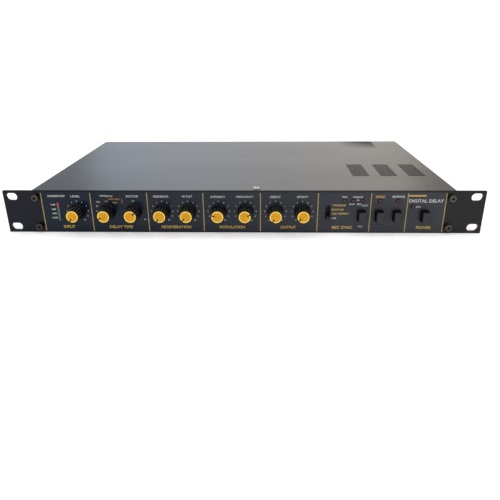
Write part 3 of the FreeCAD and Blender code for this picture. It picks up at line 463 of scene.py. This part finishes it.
# word, middle x, middle z, width, height, in mm from the panel's centre
whiteWords = [
    ("HEADROOM", -187.1, 16.7, 17.2, 2.1), ("LEVEL", -167.5, 16.4, 9.5, 2.1),
    ("TIME(ms)", -136.5, 16.6, 13.3, 2.2), ("FACTOR", -109.9, 16.5, 12.2, 2.2),
    ("FEEDBACK", -80.7, 16.3, 15.8, 2.1), ("HI CUT", -54.5, 16.4, 10.4, 2.1),
    ("INTENSITY", -23.5, 16.0, 14.5, 2.1), ("FREQUENCY", 3.4, 16.0, 17.4, 2.2),
    ("DIRECT", 33.9, 16.0, 10.4, 2.1), ("EFFECT", 60.9, 16.0, 11.0, 2.1),
    ("BYPASS", 155.7, 16.4, 12.0, 2.2), ("TRIG", 102.4, 16.0, 5.2, 1.7),
    ("OVERDUB", 115.6, 16.0, 9.6, 1.7), ("PLAY", 110.6, 8.6, 5.4, 1.7), ("REC", 117.6, 8.6, 4.5, 1.7),
    ("READY", 123.4, 7.3, 6.3, 1.6), ("REC", 120.2, -14.9, 4.6, 1.6), ("OFF", 93.3, -6.3, 4.2, 1.6),
    ("ON", 175.8, 5.9, 4.6, 1.7), ("DIGITAL DELAY", 183.4, 12.1, 34.0, 3.3),
    ("+3dB", -191.8, 7.6, 5.2, 1.7), ("0dB", -191.3, 2.8, 4.2, 1.7), ("-6dB", -191.6, -1.6, 5.0, 1.7),
    ("-12dB", -191.9, -6.2, 6.4, 1.7),
]
yellowWords = [
    ("INPUT", -177.9, -16.0, 11.7, 3.1), ("DELAY TIME", -124.0, -16.0, 24.0, 3.1),
    ("REGENERATION", -67.1, -16.0, 30.3, 3.1), ("MODULATION", -9.7, -16.0, 26.0, 3.1),
    ("OUTPUT", 47.3, -16.0, 15.9, 3.1), ("REC SYNC", 101.9, -16.0, 20.5, 3.1),
    ("POWER", 183.9, -16.0, 15.0, 3.1), ("HOLD", 137.9, 16.4, 9.2, 2.6),
    ("TRIGGER", 97.9, 7.4, 13.3, 1.9), ("FOOT SW", 96.7, 2.8, 11.8, 1.9),
    ("REC REPEAT", 99.6, -1.4, 16.9, 1.9),
]
fieldLines = {"x": (-202.5, -152.5, -95.0, -38.5, 19.0, 76.5, 129.0, 165.0, 202.5), "width": 0.95,
              "low": -20.5, "high": 20.0}
# the numbers round each dial: narrow and wide ones have their own share of the width
dial = {"numbers": 11, "radius": 10.9, "step": 29.0, "height": 1.45, "width": 0.95,
        "shares": {1: 0.55, 10: 2.0}}
# text, angle, distance from the shaft, width
whiteLabels = {"time": (("8", -88, 11.3, 1.0), ("32", -61, 12.0, 2.2), ("128", -42, 13.6, 3.6)),
               "factor": (("x1", 0, 11.2, 2.4), ("x2", 128, 13.4, 2.4))}
yellowLabels = {"time": (("512", -4, 10.9, 3.4), ("1024", 40, 12.4, 4.4))}
labelHeight = 1.5
smallWord = ("LONG DELAY", -128.3, 13.6, 12.0, 1.3)
# middle x, middle z, width, height
whiteStrokes = [(90.0, 7.2, 0.7, 0.25), (90.0, 2.6, 0.7, 0.25), (90.0, -1.6, 0.7, 0.25),
                (90.0, -6.5, 0.7, 0.25), (115.9, 12.6, 3.4, 0.3), (115.9, 13.6, 0.35, 2.0)]
yellowStrokes = [(-120.6, 11.5, 0.35, 4.6), (174.2, 17.4, 16.8, 1.5)]  # the second is a plain bar
dialNames = [name for name in knobNames if name not in ("time", "factor")]


def around(node, angle, radius):
    # the point at an angle round a node's middle, in mm
    x, z = middleOf(node)
    turned = math.radians(angle)
    return x / mm + radius * math.sin(turned), z / mm + radius * math.cos(turned)


def addLabels(bm, labels):
    for name, entries in labels.items():
        for text, angle, radius, width in entries:
            x, z = around("shaft_" + name, angle, radius)
            addText(bm, text, x, z, width, labelHeight, printing["numberWeight"])


def printWhite():
    bm = bmesh.new()
    for word in whiteWords:
        addText(bm, *word, printing["wordWeight"])
    for name in dialNames:
        for number in range(dial["numbers"]):
            x, z = around("shaft_" + name, (number - dial["numbers"] // 2) * dial["step"], dial["radius"])
            width = dial["width"] * dial["shares"].get(number, 1.0)
            addText(bm, str(number), x, z, width, dial["height"], printing["numberWeight"])
    addLabels(bm, whiteLabels)
    for stroke in whiteStrokes:
        addStroke(bm, *stroke)
    newPiece("printed_white", bm, "inkWhite", "chassis", "flat")


def printYellow():
    bm = bmesh.new()
    for word in yellowWords:
        addText(bm, *word, printing["headingWeight"])
    addLabels(bm, yellowLabels)
    addText(bm, *smallWord, printing["smallWeight"])
    for stroke in yellowStrokes:
        addStroke(bm, *stroke)
    newPiece("printed_yellow", bm, "inkYellow", "chassis", "flat")


def printLines():
    bm = bmesh.new()
    middle = (fieldLines["low"] + fieldLines["high"]) / 2
    for x in fieldLines["x"]:
        addStroke(bm, x, middle, fieldLines["width"], fieldLines["high"] - fieldLines["low"])
    newPiece("printed_lines", bm, "inkGold", "chassis", "flat")


printWhite()
printYellow()
printLines()
print("printing made")


def turn(bm, outline, steps, place=(0, 0, 0), closed=False):
    # outline: (radius, y) points; spun about the Y axis, then moved
    points = [bm.verts.new((radius * mm, y * mm, 0)) for radius, y in outline]
    pairs = list(zip(points, points[1:] + points[:1] if closed else points[1:]))
    edges = [bm.edges.new(pair) for pair in pairs]
    before = set(bm.verts) - set(points)
    bmesh.ops.spin(bm, geom=points + edges, cent=(0, 0, 0), axis=(0, 1, 0), angle=2 * math.pi,
                   steps=steps, use_merge=True)
    made = [v for v in bm.verts if v not in before]
    bmesh.ops.translate(bm, vec=place, verts=made)
    return made


def roundedEdge(radius, end, size, steps):
    # (radius, y) points from the side at radius to the front at y = end
    leans = [math.radians(90 * step / steps) for step in range(steps + 1)]
    return [(radius - size + size * math.cos(lean), end + size - size * math.sin(lean)) for lean in leans]


def carve(bm, cutter):
    # what is left of bm outside cutter, as a new bmesh
    body, tool = (addObject("temporary", toMesh(part, "temporary")) for part in (bm, cutter))
    cut = body.modifiers.new("cut", "BOOLEAN")
    cut.operation = "DIFFERENCE"
    cut.solver = "EXACT"
    cut.object = tool
    bpy.context.view_layer.update()
    mesh = bpy.data.meshes.new_from_object(body.evaluated_get(bpy.context.evaluated_depsgraph_get()))
    left = bmesh.new()
    left.from_mesh(mesh)
    for thing in (body, tool):
        data = thing.data
        bpy.data.objects.remove(thing)
        bpy.data.meshes.remove(data)
    bpy.data.meshes.remove(mesh)
    return left


def turnAndMove(bm, angle, place):
    # clockwise from straight up, as seen from the front
    bmesh.ops.rotate(bm, cent=(0, 0, 0), matrix=Matrix.Rotation(math.radians(angle), 3, "Y"), verts=bm.verts)
    bmesh.ops.translate(bm, vec=place, verts=bm.verts)


# knobs and their caps: sizes in mm, angles in degrees clockwise from straight up
knob = {"steps": 192, "skirt": 1.2, "chamfer": 0.15, "shoulder": 0.2, "flareSteps": 6, "flareLength": 2.8,
        "flarePower": 1.5, "gripStart": 4.0, "waist": 7.0, "tip": 6.5, "edge": 0.3, "edgeSteps": 3,
        "hollow": 6.27, "hollowDepth": 3.2, "recess": 5.95, "recessDepth": 1.2, "recessEdge": 0.05}
flute = {"count": 16, "depth": 0.75, "crest": 0.02, "start": 2.0, "fade": 2.5, "margin": 0.1}
pointer = {"width": 1.2, "length": 3.3, "thick": 1.0, "sunk": 0.1}
pointerAngle = {"level": -150, "time": -115, "factor": 53, "feedback": -149, "hi_cut": -137, "intensity": -76,
                "frequency": 67, "direct": -150, "effect": -131}


def knobOutline(skirtRadius, length):
    tip, waist, edge, chamfer = (knob[part] for part in ("tip", "waist", "edge", "chamfer"))
    start = knob["gripStart"]
    recess, recessEdge, steps = knob["recess"], knob["recessEdge"], knob["flareSteps"]
    outline = [(0, -knob["hollowDepth"]), (knob["hollow"], -knob["hollowDepth"]), (knob["hollow"], 0),
               (skirtRadius - chamfer, 0), (skirtRadius, -chamfer),
               (skirtRadius, -knob["skirt"] + knob["shoulder"])]
    # the flare sweeps in from the skirt to the waist
    for share in (step / steps for step in range(1, steps + 1)):
        sweep = 1 - math.sin(share * math.pi / 2)
        depth = knob["skirt"] + knob["flareLength"] * share ** knob["flarePower"]
        outline.append((waist + (skirtRadius - waist) * sweep, -depth))
    for share in (step / steps for step in range(1, steps)):
        outline.append((waist + (tip - waist) * share, -start - (length - start - edge) * share))
    outline += roundedEdge(tip, -length, edge, knob["edgeSteps"])
    return outline + [(recess + recessEdge, -length), (recess, -length + recessEdge),
                      (recess, -length + knob["recessDepth"]), (0, -length + knob["recessDepth"])]


ridge = {"width": 0.42, "proud": 0.06, "deep": 0.5, "start": 4.6, "endGap": 0.5, "taper": 0.5}


def makeRidges(name, centre, length):
    # painted highlight: paler strips along the crests of the grip's flutes, standing in for the highlights
    # the ridges catch
    bm = bmesh.new()
    end = length - ridge["endGap"]
    span = end - ridge["start"]
    for number in range(flute["count"]):
        verts = addBox(bm, (0, 0, 0), (ridge["width"] * mm, span * mm, ridge["deep"] * mm))
        for v in verts:
            share = (end - ridge["start"] - (v.co.y / mm + span / 2)) / (length - knob["gripStart"])
            crest = knob["waist"] + (knob["tip"] - knob["waist"]) * min(1.0, max(0.0, share))
            v.co.y -= (ridge["start"] + span / 2) * mm
            v.co.z += (crest + ridge["proud"] - ridge["deep"] / 2) * mm
            if v.co.z > crest * mm:
                v.co.x *= ridge["taper"]
        angle = math.radians((number + 0.5) * 360 / flute["count"])
        bmesh.ops.rotate(bm, cent=(0, 0, 0), matrix=Matrix.Rotation(angle, 3, "Y"), verts=verts)
    turnAndMove(bm, pointerAngle[name], centre)
    newPiece("ridges_" + name, bm, "ridgeHighlight", name + "_control", "flat")


def makeKnob(name):
    low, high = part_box("knob_" + name)
    x, z = middleOf("knob_cap_" + name)
    centre, length = (x, high.y, z), (high.y - low.y) / mm
    bm = bmesh.new()
    made = turn(bm, knobOutline((high.x - low.x) / 2 / mm, length), knob["steps"])
    # scalloped grip: sharp ridges between round flutes, fading out above the flare
    for v in made:
        radius, depth = math.hypot(v.co.x, v.co.z) / mm, -v.co.y / mm
        if radius < knob["recess"] + flute["margin"] or depth < flute["start"]:
            continue
        fade = min(1.0, (depth - flute["start"]) / flute["fade"])
        wave = math.cos(flute["count"] / 2 * math.atan2(v.co.x, v.co.z))
        groove = math.sqrt(wave * wave + flute["crest"]) - math.sqrt(flute["crest"])
        shrink = 1 - flute["depth"] * fade * groove / radius
        v.co.x *= shrink
        v.co.z *= shrink
    addBox(bm, (0, (pointer["thick"] / 2 - length) * mm,
                (knob["recess"] - pointer["length"] / 2 + pointer["sunk"]) * mm),
           (pointer["width"] * mm, pointer["thick"] * mm, pointer["length"] * mm))
    turnAndMove(bm, pointerAngle[name], centre)
    piece = newPiece("grip_" + name, bm, "knobBlack", name + "_control")
    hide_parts("knob_" + name)
    makeRidges(name, centre, length)


cap = {"steps": 96, "radius": 5.9, "bevel": 0.35, "bevelSteps": 4, "rim": 0.95, "dish": 0.12, "slotGap": 0.05,
       "slotReach": 1.0, "slotDepth": 4.0}


def capOutline(thick):
    radius, inner, face = cap["radius"], cap["radius"] - cap["rim"], cap["dish"] - thick
    outline = [(0, 0), (radius, 0)] + roundedEdge(radius, -thick, cap["bevel"], cap["bevelSteps"])
    return outline + [(inner, -thick), (inner - cap["dish"], face), (radius / 2, face), (0, face)]


def makeCap(name):
    low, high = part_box("knob_cap_" + name)
    x, z = middleOf("knob_cap_" + name)
    thick = (high.y - low.y) / mm
    bm = bmesh.new()
    turn(bm, capOutline(thick), cap["steps"])
    width = (pointer["width"] + 2 * cap["slotGap"]) * mm
    length = (pointer["length"] + cap["slotReach"]) * mm
    slot = bmesh.new()
    addBox(slot, (0, -thick / 2 * mm, (cap["radius"] + cap["slotReach"]) * mm - length / 2),
           (width, cap["slotDepth"] * mm, length))
    bm = carve(bm, slot)
    turnAndMove(bm, pointerAngle[name], (x, high.y, z))
    piece = newPiece("cap_" + name, bm, "capOrange", name + "_control")
    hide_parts("knob_cap_" + name)


for name in knobNames:
    makeKnob(name)
    makeCap(name)
print("knobs made:", len(knobNames))


# push buttons and the slide switch's lever
# ribEnd and dishEnd are shares of the block's width; depth is how far back the block runs
key = {"ribs": 5, "ribDepth": 0.12, "ribEnd": 0.44, "dish": 0.45, "dishEnd": 0.47, "columns": 40, "rows": 16,
       "depth": 13.0, "round": 0.5, "roundSteps": 3, "stem": 3.0, "stemStart": 12.5}


rim = {"angle": 0.9, "reach": 0.9 * mm}  # edges sharper than angle and no further back than reach are rounded


def bevelEdges(bm, edges, values):
    bmesh.ops.bevel(bm, geom=edges, offset=values["round"] * mm, offset_type="OFFSET",
                    segments=values["roundSteps"], profile=0.5, affect="EDGES", material=-1,
                    clamp_overlap=True)


def ribbedBlock(name, values):
    # a block the size of the node, its front face dished from top to bottom and ribbed
    low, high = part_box(name)
    x, z = middleOf(name)
    size = high - low
    bm = bmesh.new()
    bmesh.ops.create_grid(bm, x_segments=values["columns"], y_segments=values["rows"], size=0.5)
    for v in bm.verts:
        across, up = v.co.x, v.co.y
        wave = 0.5 + 0.5 * math.cos(2 * math.pi * values["ribs"] * across)
        rib = values["ribDepth"] * wave if max(abs(across), abs(up)) < values["ribEnd"] else 0
        dish = values["dish"] * (1 - 4 * up * up) if abs(across) < values["dishEnd"] else 0
        v.co = Vector((across * size.x, (rib + dish) * mm, up * size.z))
    made = bmesh.ops.extrude_face_region(bm, geom=bm.faces[:])
    for v in made["geom"]:
        if isinstance(v, bmesh.types.BMVert):
            v.co.y = values["depth"] * mm
    bmesh.ops.recalc_face_normals(bm, faces=bm.faces)
    sharp = [e for e in bm.edges if len(e.link_faces) == 2 and e.calc_face_angle(0) > rim["angle"]]
    front = [e for e in sharp if min(v.co.y for v in e.verts) < rim["reach"]]
    bevelEdges(bm, front, values)
    bmesh.ops.translate(bm, vec=(x, low.y, z), verts=bm.verts)
    return bm


for name in buttonNames:
    low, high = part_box("button_" + name)
    x, z = middleOf("button_" + name)
    bm = ribbedBlock("button_" + name, key)
    stemLength = high.y - low.y - key["stemStart"] * mm
    addBox(bm, (x, high.y - stemLength / 2, z), (key["stem"] * mm, stemLength, key["stem"] * mm))
    piece = newPiece("key_" + name, bm, "buttonPlastic", name + "_key")
    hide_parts("button_" + name)

leverLow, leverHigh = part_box("slide_lever")
lever = {"ribs": 3, "ribDepth": 0.35, "ribEnd": 0.44, "dish": 0.0, "dishEnd": 0.47, "columns": 36, "rows": 12,
         "depth": (leverHigh.y - leverLow.y) / mm, "round": 0.25, "roundSteps": 3}
bm = ribbedBlock("slide_lever", lever)
piece = newPiece("slide_tab_ribbed", bm, "leverBlack", "slide_tab")
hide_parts("slide_lever")
print("buttons made:", len(buttonNames))


# small hardware: bezels, screw heads, jacks and inlet
islandGap = 1e-6  # metres; points closer than this are one


def spots(node):
    # middles of a node's separate solids, as seen from the front, in metres
    bm = bmesh.new()
    bm.from_mesh(nodes[node].data)
    bm.transform(nodes[node].matrix_world)
    bmesh.ops.remove_doubles(bm, verts=bm.verts, dist=islandGap)
    left, middles = set(bm.verts), []
    while left:
        edge = [left.pop()]
        xs, zs = [], []
        while edge:
            v = edge.pop()
            xs.append(v.co.x)
            zs.append(v.co.z)
            beside = {e.other_vert(v) for e in v.link_edges} & left
            left -= beside
            edge += beside
        middles.append(((min(xs) + max(xs)) / 2, (min(zs) + max(zs)) / 2))
    bm.free()
    return sorted(middles)


bezel = {"inner": 1.55, "outer": 2.1, "proud": 0.4, "round": 0.14, "steps": 40, "sunk": 0.05}


def makeBezels():
    inner, outer, proud, soft = bezel["inner"], bezel["outer"], bezel["proud"], bezel["round"]
    outline = [(inner, bezel["sunk"]), (outer, bezel["sunk"]), (outer, soft - proud), (outer - soft, -proud),
               (inner + soft, -proud), (inner, soft - proud)]
    bm = bmesh.new()
    for x, z in spots("indicator_lamps"):
        turn(bm, outline, bezel["steps"], (x, panelLow.y, z), True)
    newPiece("lamp_bezels", bm, "bezelBlack", "chassis", "smooth")


meterFrame = {"border": 0.5, "proud": 0.22, "gap": 0.06}


def makeMeterFrame():
    redLow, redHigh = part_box("meter_lamp_red")
    greenLow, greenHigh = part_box("meter_lamps_green")
    border, proud, gap = (meterFrame[part] * mm for part in ("border", "proud", "gap"))
    left, right = redLow.x - gap, redHigh.x + gap
    bottom, top = greenLow.z - gap, redHigh.z + gap
    middleX, middleZ, y = (left + right) / 2, (bottom + top) / 2, panelLow.y - proud / 2
    bm = bmesh.new()
    for z in (bottom - border / 2, top + border / 2):
        addBox(bm, (middleX, y, z), (right - left + 2 * border, proud, border))
    for x in (left - border / 2, right + border / 2):
        addBox(bm, (x, y, middleZ), (border, proud, top - bottom))
    newPiece("meter_frame", bm, "bezelBlack", "chassis", "flat")


knurl = {"teeth": 30, "perTooth": 6, "deep": 0.07, "wall": 0.25, "proud": 0.02, "inset": 0.55}


def makeKnurls():
    # a knurled band round each socket screw's head
    low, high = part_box("panel_screws")
    places = spots("panel_screws")
    radius = (high.x - max(x for x, z in places)) / mm
    head = (panelLow.y - low.y) / mm
    outer, inner = radius + knurl["proud"], radius - knurl["wall"]
    outline = [(inner, -knurl["inset"]), (outer, -knurl["inset"]), (outer, -head + knurl["inset"]),
               (inner, -head + knurl["inset"])]
    bm = bmesh.new()
    for x, z in places:
        made = turn(bm, outline, knurl["teeth"] * knurl["perTooth"], (0, 0, 0), True)
        for v in made:
            if math.hypot(v.co.x, v.co.z) > (radius - knurl["wall"] / 2) * mm:
                grow = 1 + knurl["deep"] / radius * math.cos(knurl["teeth"] * math.atan2(v.co.x, v.co.z))
                v.co.x *= grow
                v.co.z *= grow
        bmesh.ops.translate(bm, vec=(x, panelLow.y, z), verts=made)
    newPiece("screw_knurls", bm, "screwBlack", "chassis", "flat")


jack = {"steps": 48, "thread": 4.7, "rise": 0.16, "pitch": 0.5, "core": 4.4, "gap": 0.02, "lead": 0.3,
        "bore": 3.2, "sleeve": 0.25, "sleeveIn": 0.5, "sleeveLength": 6.0, "chamfer": 0.1}


def makeJacks():
    # the thread beyond each nut, and the metal sleeve inside each socket
    nutEnd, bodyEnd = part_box("jack_nuts")[1].y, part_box("jack_bodies")[1].y
    thread, core, pitch, gap, chamfer = (jack[part] for part in ("thread", "core", "pitch", "gap", "chamfer"))
    turns = int(((bodyEnd - nutEnd) / mm - jack["lead"]) / pitch)
    outline = [(core, gap)]
    for number in range(turns):
        outline += [(thread, gap + number * pitch), (thread + jack["rise"], gap + (number + 0.5) * pitch)]
    outline += [(thread, gap + turns * pitch), (core, gap + turns * pitch)]
    inner, outer = jack["bore"] - jack["sleeve"], jack["bore"] + gap
    start, end = -jack["sleeveIn"] - jack["sleeveLength"], -jack["sleeveIn"]
    tube = [(inner, start), (outer, start), (outer, end), (inner + chamfer, end), (inner, end - chamfer)]
    threads, sleeves = bmesh.new(), bmesh.new()
    for x, z in spots("jack_nuts"):
        turn(threads, outline, jack["steps"], (x, nutEnd, z), True)
        turn(sleeves, tube, jack["steps"], (x, bodyEnd, z), True)
    newPiece("jack_threads", threads, "jackBlack", "chassis")
    newPiece("jack_sleeves", sleeves, "nickel", "chassis")


blade = {"places": ((-7.0, -2.0), (0.0, 2.0), (7.0, -2.0)), "width": 2.0, "height": 4.0, "length": 11.0,
         "mouth": 16.0, "skin": 0.03, "round": 0.5, "roundSteps": 3}


def makeBlades():
    # plated sleeves over the inlet's three pins
    middleX, middleZ = middleOf("mains_inlet")
    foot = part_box("mains_inlet")[1].y - blade["mouth"] * mm
    length = (blade["length"] + blade["skin"]) * mm
    width, height = ((blade[part] + 2 * blade["skin"]) * mm for part in ("width", "height"))
    bm = bmesh.new()
    for x, z in blade["places"]:
        addBox(bm, (middleX + x * mm, foot + length / 2, middleZ + z * mm), (width, length, height))
    tips = [e for e in bm.edges if min(v.co.y for v in e.verts) > foot + length / 2]
    bevelEdges(bm, tips, blade)
    newPiece("inlet_blades", bm, "nickel", "chassis")


makeBezels()
makeMeterFrame()
makeKnurls()
makeJacks()
makeBlades()
print("small hardware made")


# a sheet of paper whose glow rises from near to far, in metres, so that it fades into the pale backdrop
studio = {"floorSize": 24.0, "paper": (0.93, 0.93, 0.93), "rough": 0.9, "shine": 0.1, "nearGlow": 0.30,
          "farGlow": 1.1, "near": 0.55, "far": 1.5}


def makeFloor():
    bm = bmesh.new()
    bmesh.ops.create_grid(bm, x_segments=1, y_segments=1, size=studio["floorSize"] / 2)
    bmesh.ops.translate(bm, vec=(0, 0, floorHeight), verts=bm.verts)
    mesh = bpy.data.meshes.new("floor")
    bm.to_mesh(mesh)
    bm.free()
    material, tree, shader = startMaterial("paper", {
        "Roughness": studio["rough"], "Base Color": (*studio["paper"], 1.0),
        "Specular IOR Level": studio["shine"], "Emission Color": (1.0, 1.0, 1.0, 1.0)})
    x, y, z = splitCoords(tree, objectCoords(tree))
    squares = maths(tree, "ADD", maths(tree, "MULTIPLY", x, x), maths(tree, "MULTIPLY", y, y))
    distance = maths(tree, "SQRT", squares)
    glow = remap(tree, distance, studio["near"], studio["far"], studio["nearGlow"], studio["farGlow"])
    tree.links.new(glow, shader.inputs["Emission Strength"])
    mesh.materials.append(material)
    addObject("floor", mesh)


def addLamp(name, lamp):
    light = bpy.data.lights.new(name, "AREA")
    light.shape = "RECTANGLE"
    light.size, light.size_y = lamp["size"]
    light.energy, light.color = lamp["power"], lamp["colour"]
    thing = addObject(name, light)
    thing.location = lamp["place"]
    aim = Vector(lamp["target"]) - Vector(lamp["place"])
    thing.rotation_euler = aim.to_track_quat("-Z", "Y").to_euler()


# backdrop: degrees left and right of straight ahead; the other spans are heights from 0 to 1
sky = {"strength": 1.0, "backdrop": (-19.6, 17.4), "backdropEdge": 0.012, "backdropTop": (0.40, 0.55),
       "backdropRise": (0.17, 0.29, 0.86, 1.18), "horizonTurn": (-0.2, 0.2), "horizon": (0.20, 0.075),
       "horizonEdge": 0.02, "ceiling": (0.45, 0.75, 0.0, 0.80), "dim": 0.40, "bright": 1.2,
       "tintSpan": (-0.28, 0.28), "cool": (0.84, 0.94, 1.10), "warm": (1.12, 1.01, 0.90),
       "plain": (1.0, 1.0, 1.0)}
lamps = {
    "overLeft": {"place": (-0.5, 0.1, 1.1), "target": (-0.1, 0.1, 0), "size": (0.7, 0.7), "power": 2.2,
                 "colour": (0.92, 0.96, 1.0)},
    "overRight": {"place": (0.5, 0.1, 1.1), "target": (0.1, 0.1, 0), "size": (0.7, 0.7), "power": 2.2,
                  "colour": (1.0, 0.97, 0.92)},
    "frontWarm": {"place": (-0.15, -0.75, 0.95), "target": (0, 0, 0), "size": (0.5, 0.12), "power": 1.6,
                  "colour": (1.0, 0.90, 0.72)},
}


def makeLights():
    # a white backdrop behind the object, dimmer walls beside it, and a pale ceiling
    world = bpy.data.worlds.new("studio")
    world.use_nodes = True
    tree = world.node_tree
    coords = tree.nodes.new("ShaderNodeTexCoord")
    x, y, z = splitCoords(tree, coords.outputs["Generated"])
    heading = maths(tree, "ARCTAN2", x, y)
    left, right = (math.radians(angle) for angle in sky["backdrop"])
    backdrop = inBand(tree, heading, left, right, sky["backdropEdge"])
    backdrop = maths(tree, "MULTIPLY", backdrop, remap(tree, z, *sky["backdropTop"], 1.0, 0.0))
    backdrop = maths(tree, "MULTIPLY", backdrop, remap(tree, z, *sky["backdropRise"]))
    lowSky = maths(tree, "SUBTRACT", z, remap(tree, y, *sky["horizonTurn"], *sky["horizon"]))
    horizon = remap(tree, lowSky, 0.0, sky["horizonEdge"], 1.0, 0.0)
    ceiling = remap(tree, z, *sky["ceiling"])
    brightness = maths(tree, "MAXIMUM", maths(tree, "MAXIMUM", backdrop, horizon), ceiling)
    tint = mixColour(tree, remap(tree, x, *sky["tintSpan"]), sky["cool"], sky["warm"])
    tint = mixColour(tree, horizon, tint, sky["plain"])
    level = remap(tree, brightness, 0.0, sky["bright"], sky["dim"], sky["bright"])
    background = tree.nodes["Background"]
    tree.links.new(tint, background.inputs["Color"])
    tree.links.new(maths(tree, "MULTIPLY", level, sky["strength"]), background.inputs["Strength"])
    bpy.context.scene.world = world
    for name, lamp in lamps.items():
        addLamp(name, lamp)


# place and lens in mm, angles in degrees, near in metres
camera = {"place": (23.3, -482.0, 161.1), "pan": -1.808, "tilt": 22.907, "roll": -0.453, "lens": 35.97,
          "sensor": 36, "near": 0.01}


def makeCamera():
    data = bpy.data.cameras.new("camera")
    data.sensor_width, data.lens, data.clip_start = camera["sensor"], camera["lens"], camera["near"]
    pan, tilt, roll = (math.radians(camera[part]) for part in ("pan", "tilt", "roll"))
    forward = Vector((math.sin(pan) * math.cos(tilt), math.cos(pan) * math.cos(tilt), -math.sin(tilt)))
    right = Vector((math.cos(pan), -math.sin(pan), 0))
    up = right.cross(forward)
    side = math.cos(roll) * right + math.sin(roll) * up
    top = -math.sin(roll) * right + math.cos(roll) * up
    turned = Matrix((side, top, -forward)).transposed().to_4x4()
    eye = addObject("camera", data)
    eye.matrix_world = Matrix.Translation(Vector(camera["place"]) * mm) @ turned
    bpy.context.scene.camera = eye


bpy.context.scene.view_settings.view_transform = "Standard"
makeFloor()
makeLights()
makeCamera()
print("studio made")
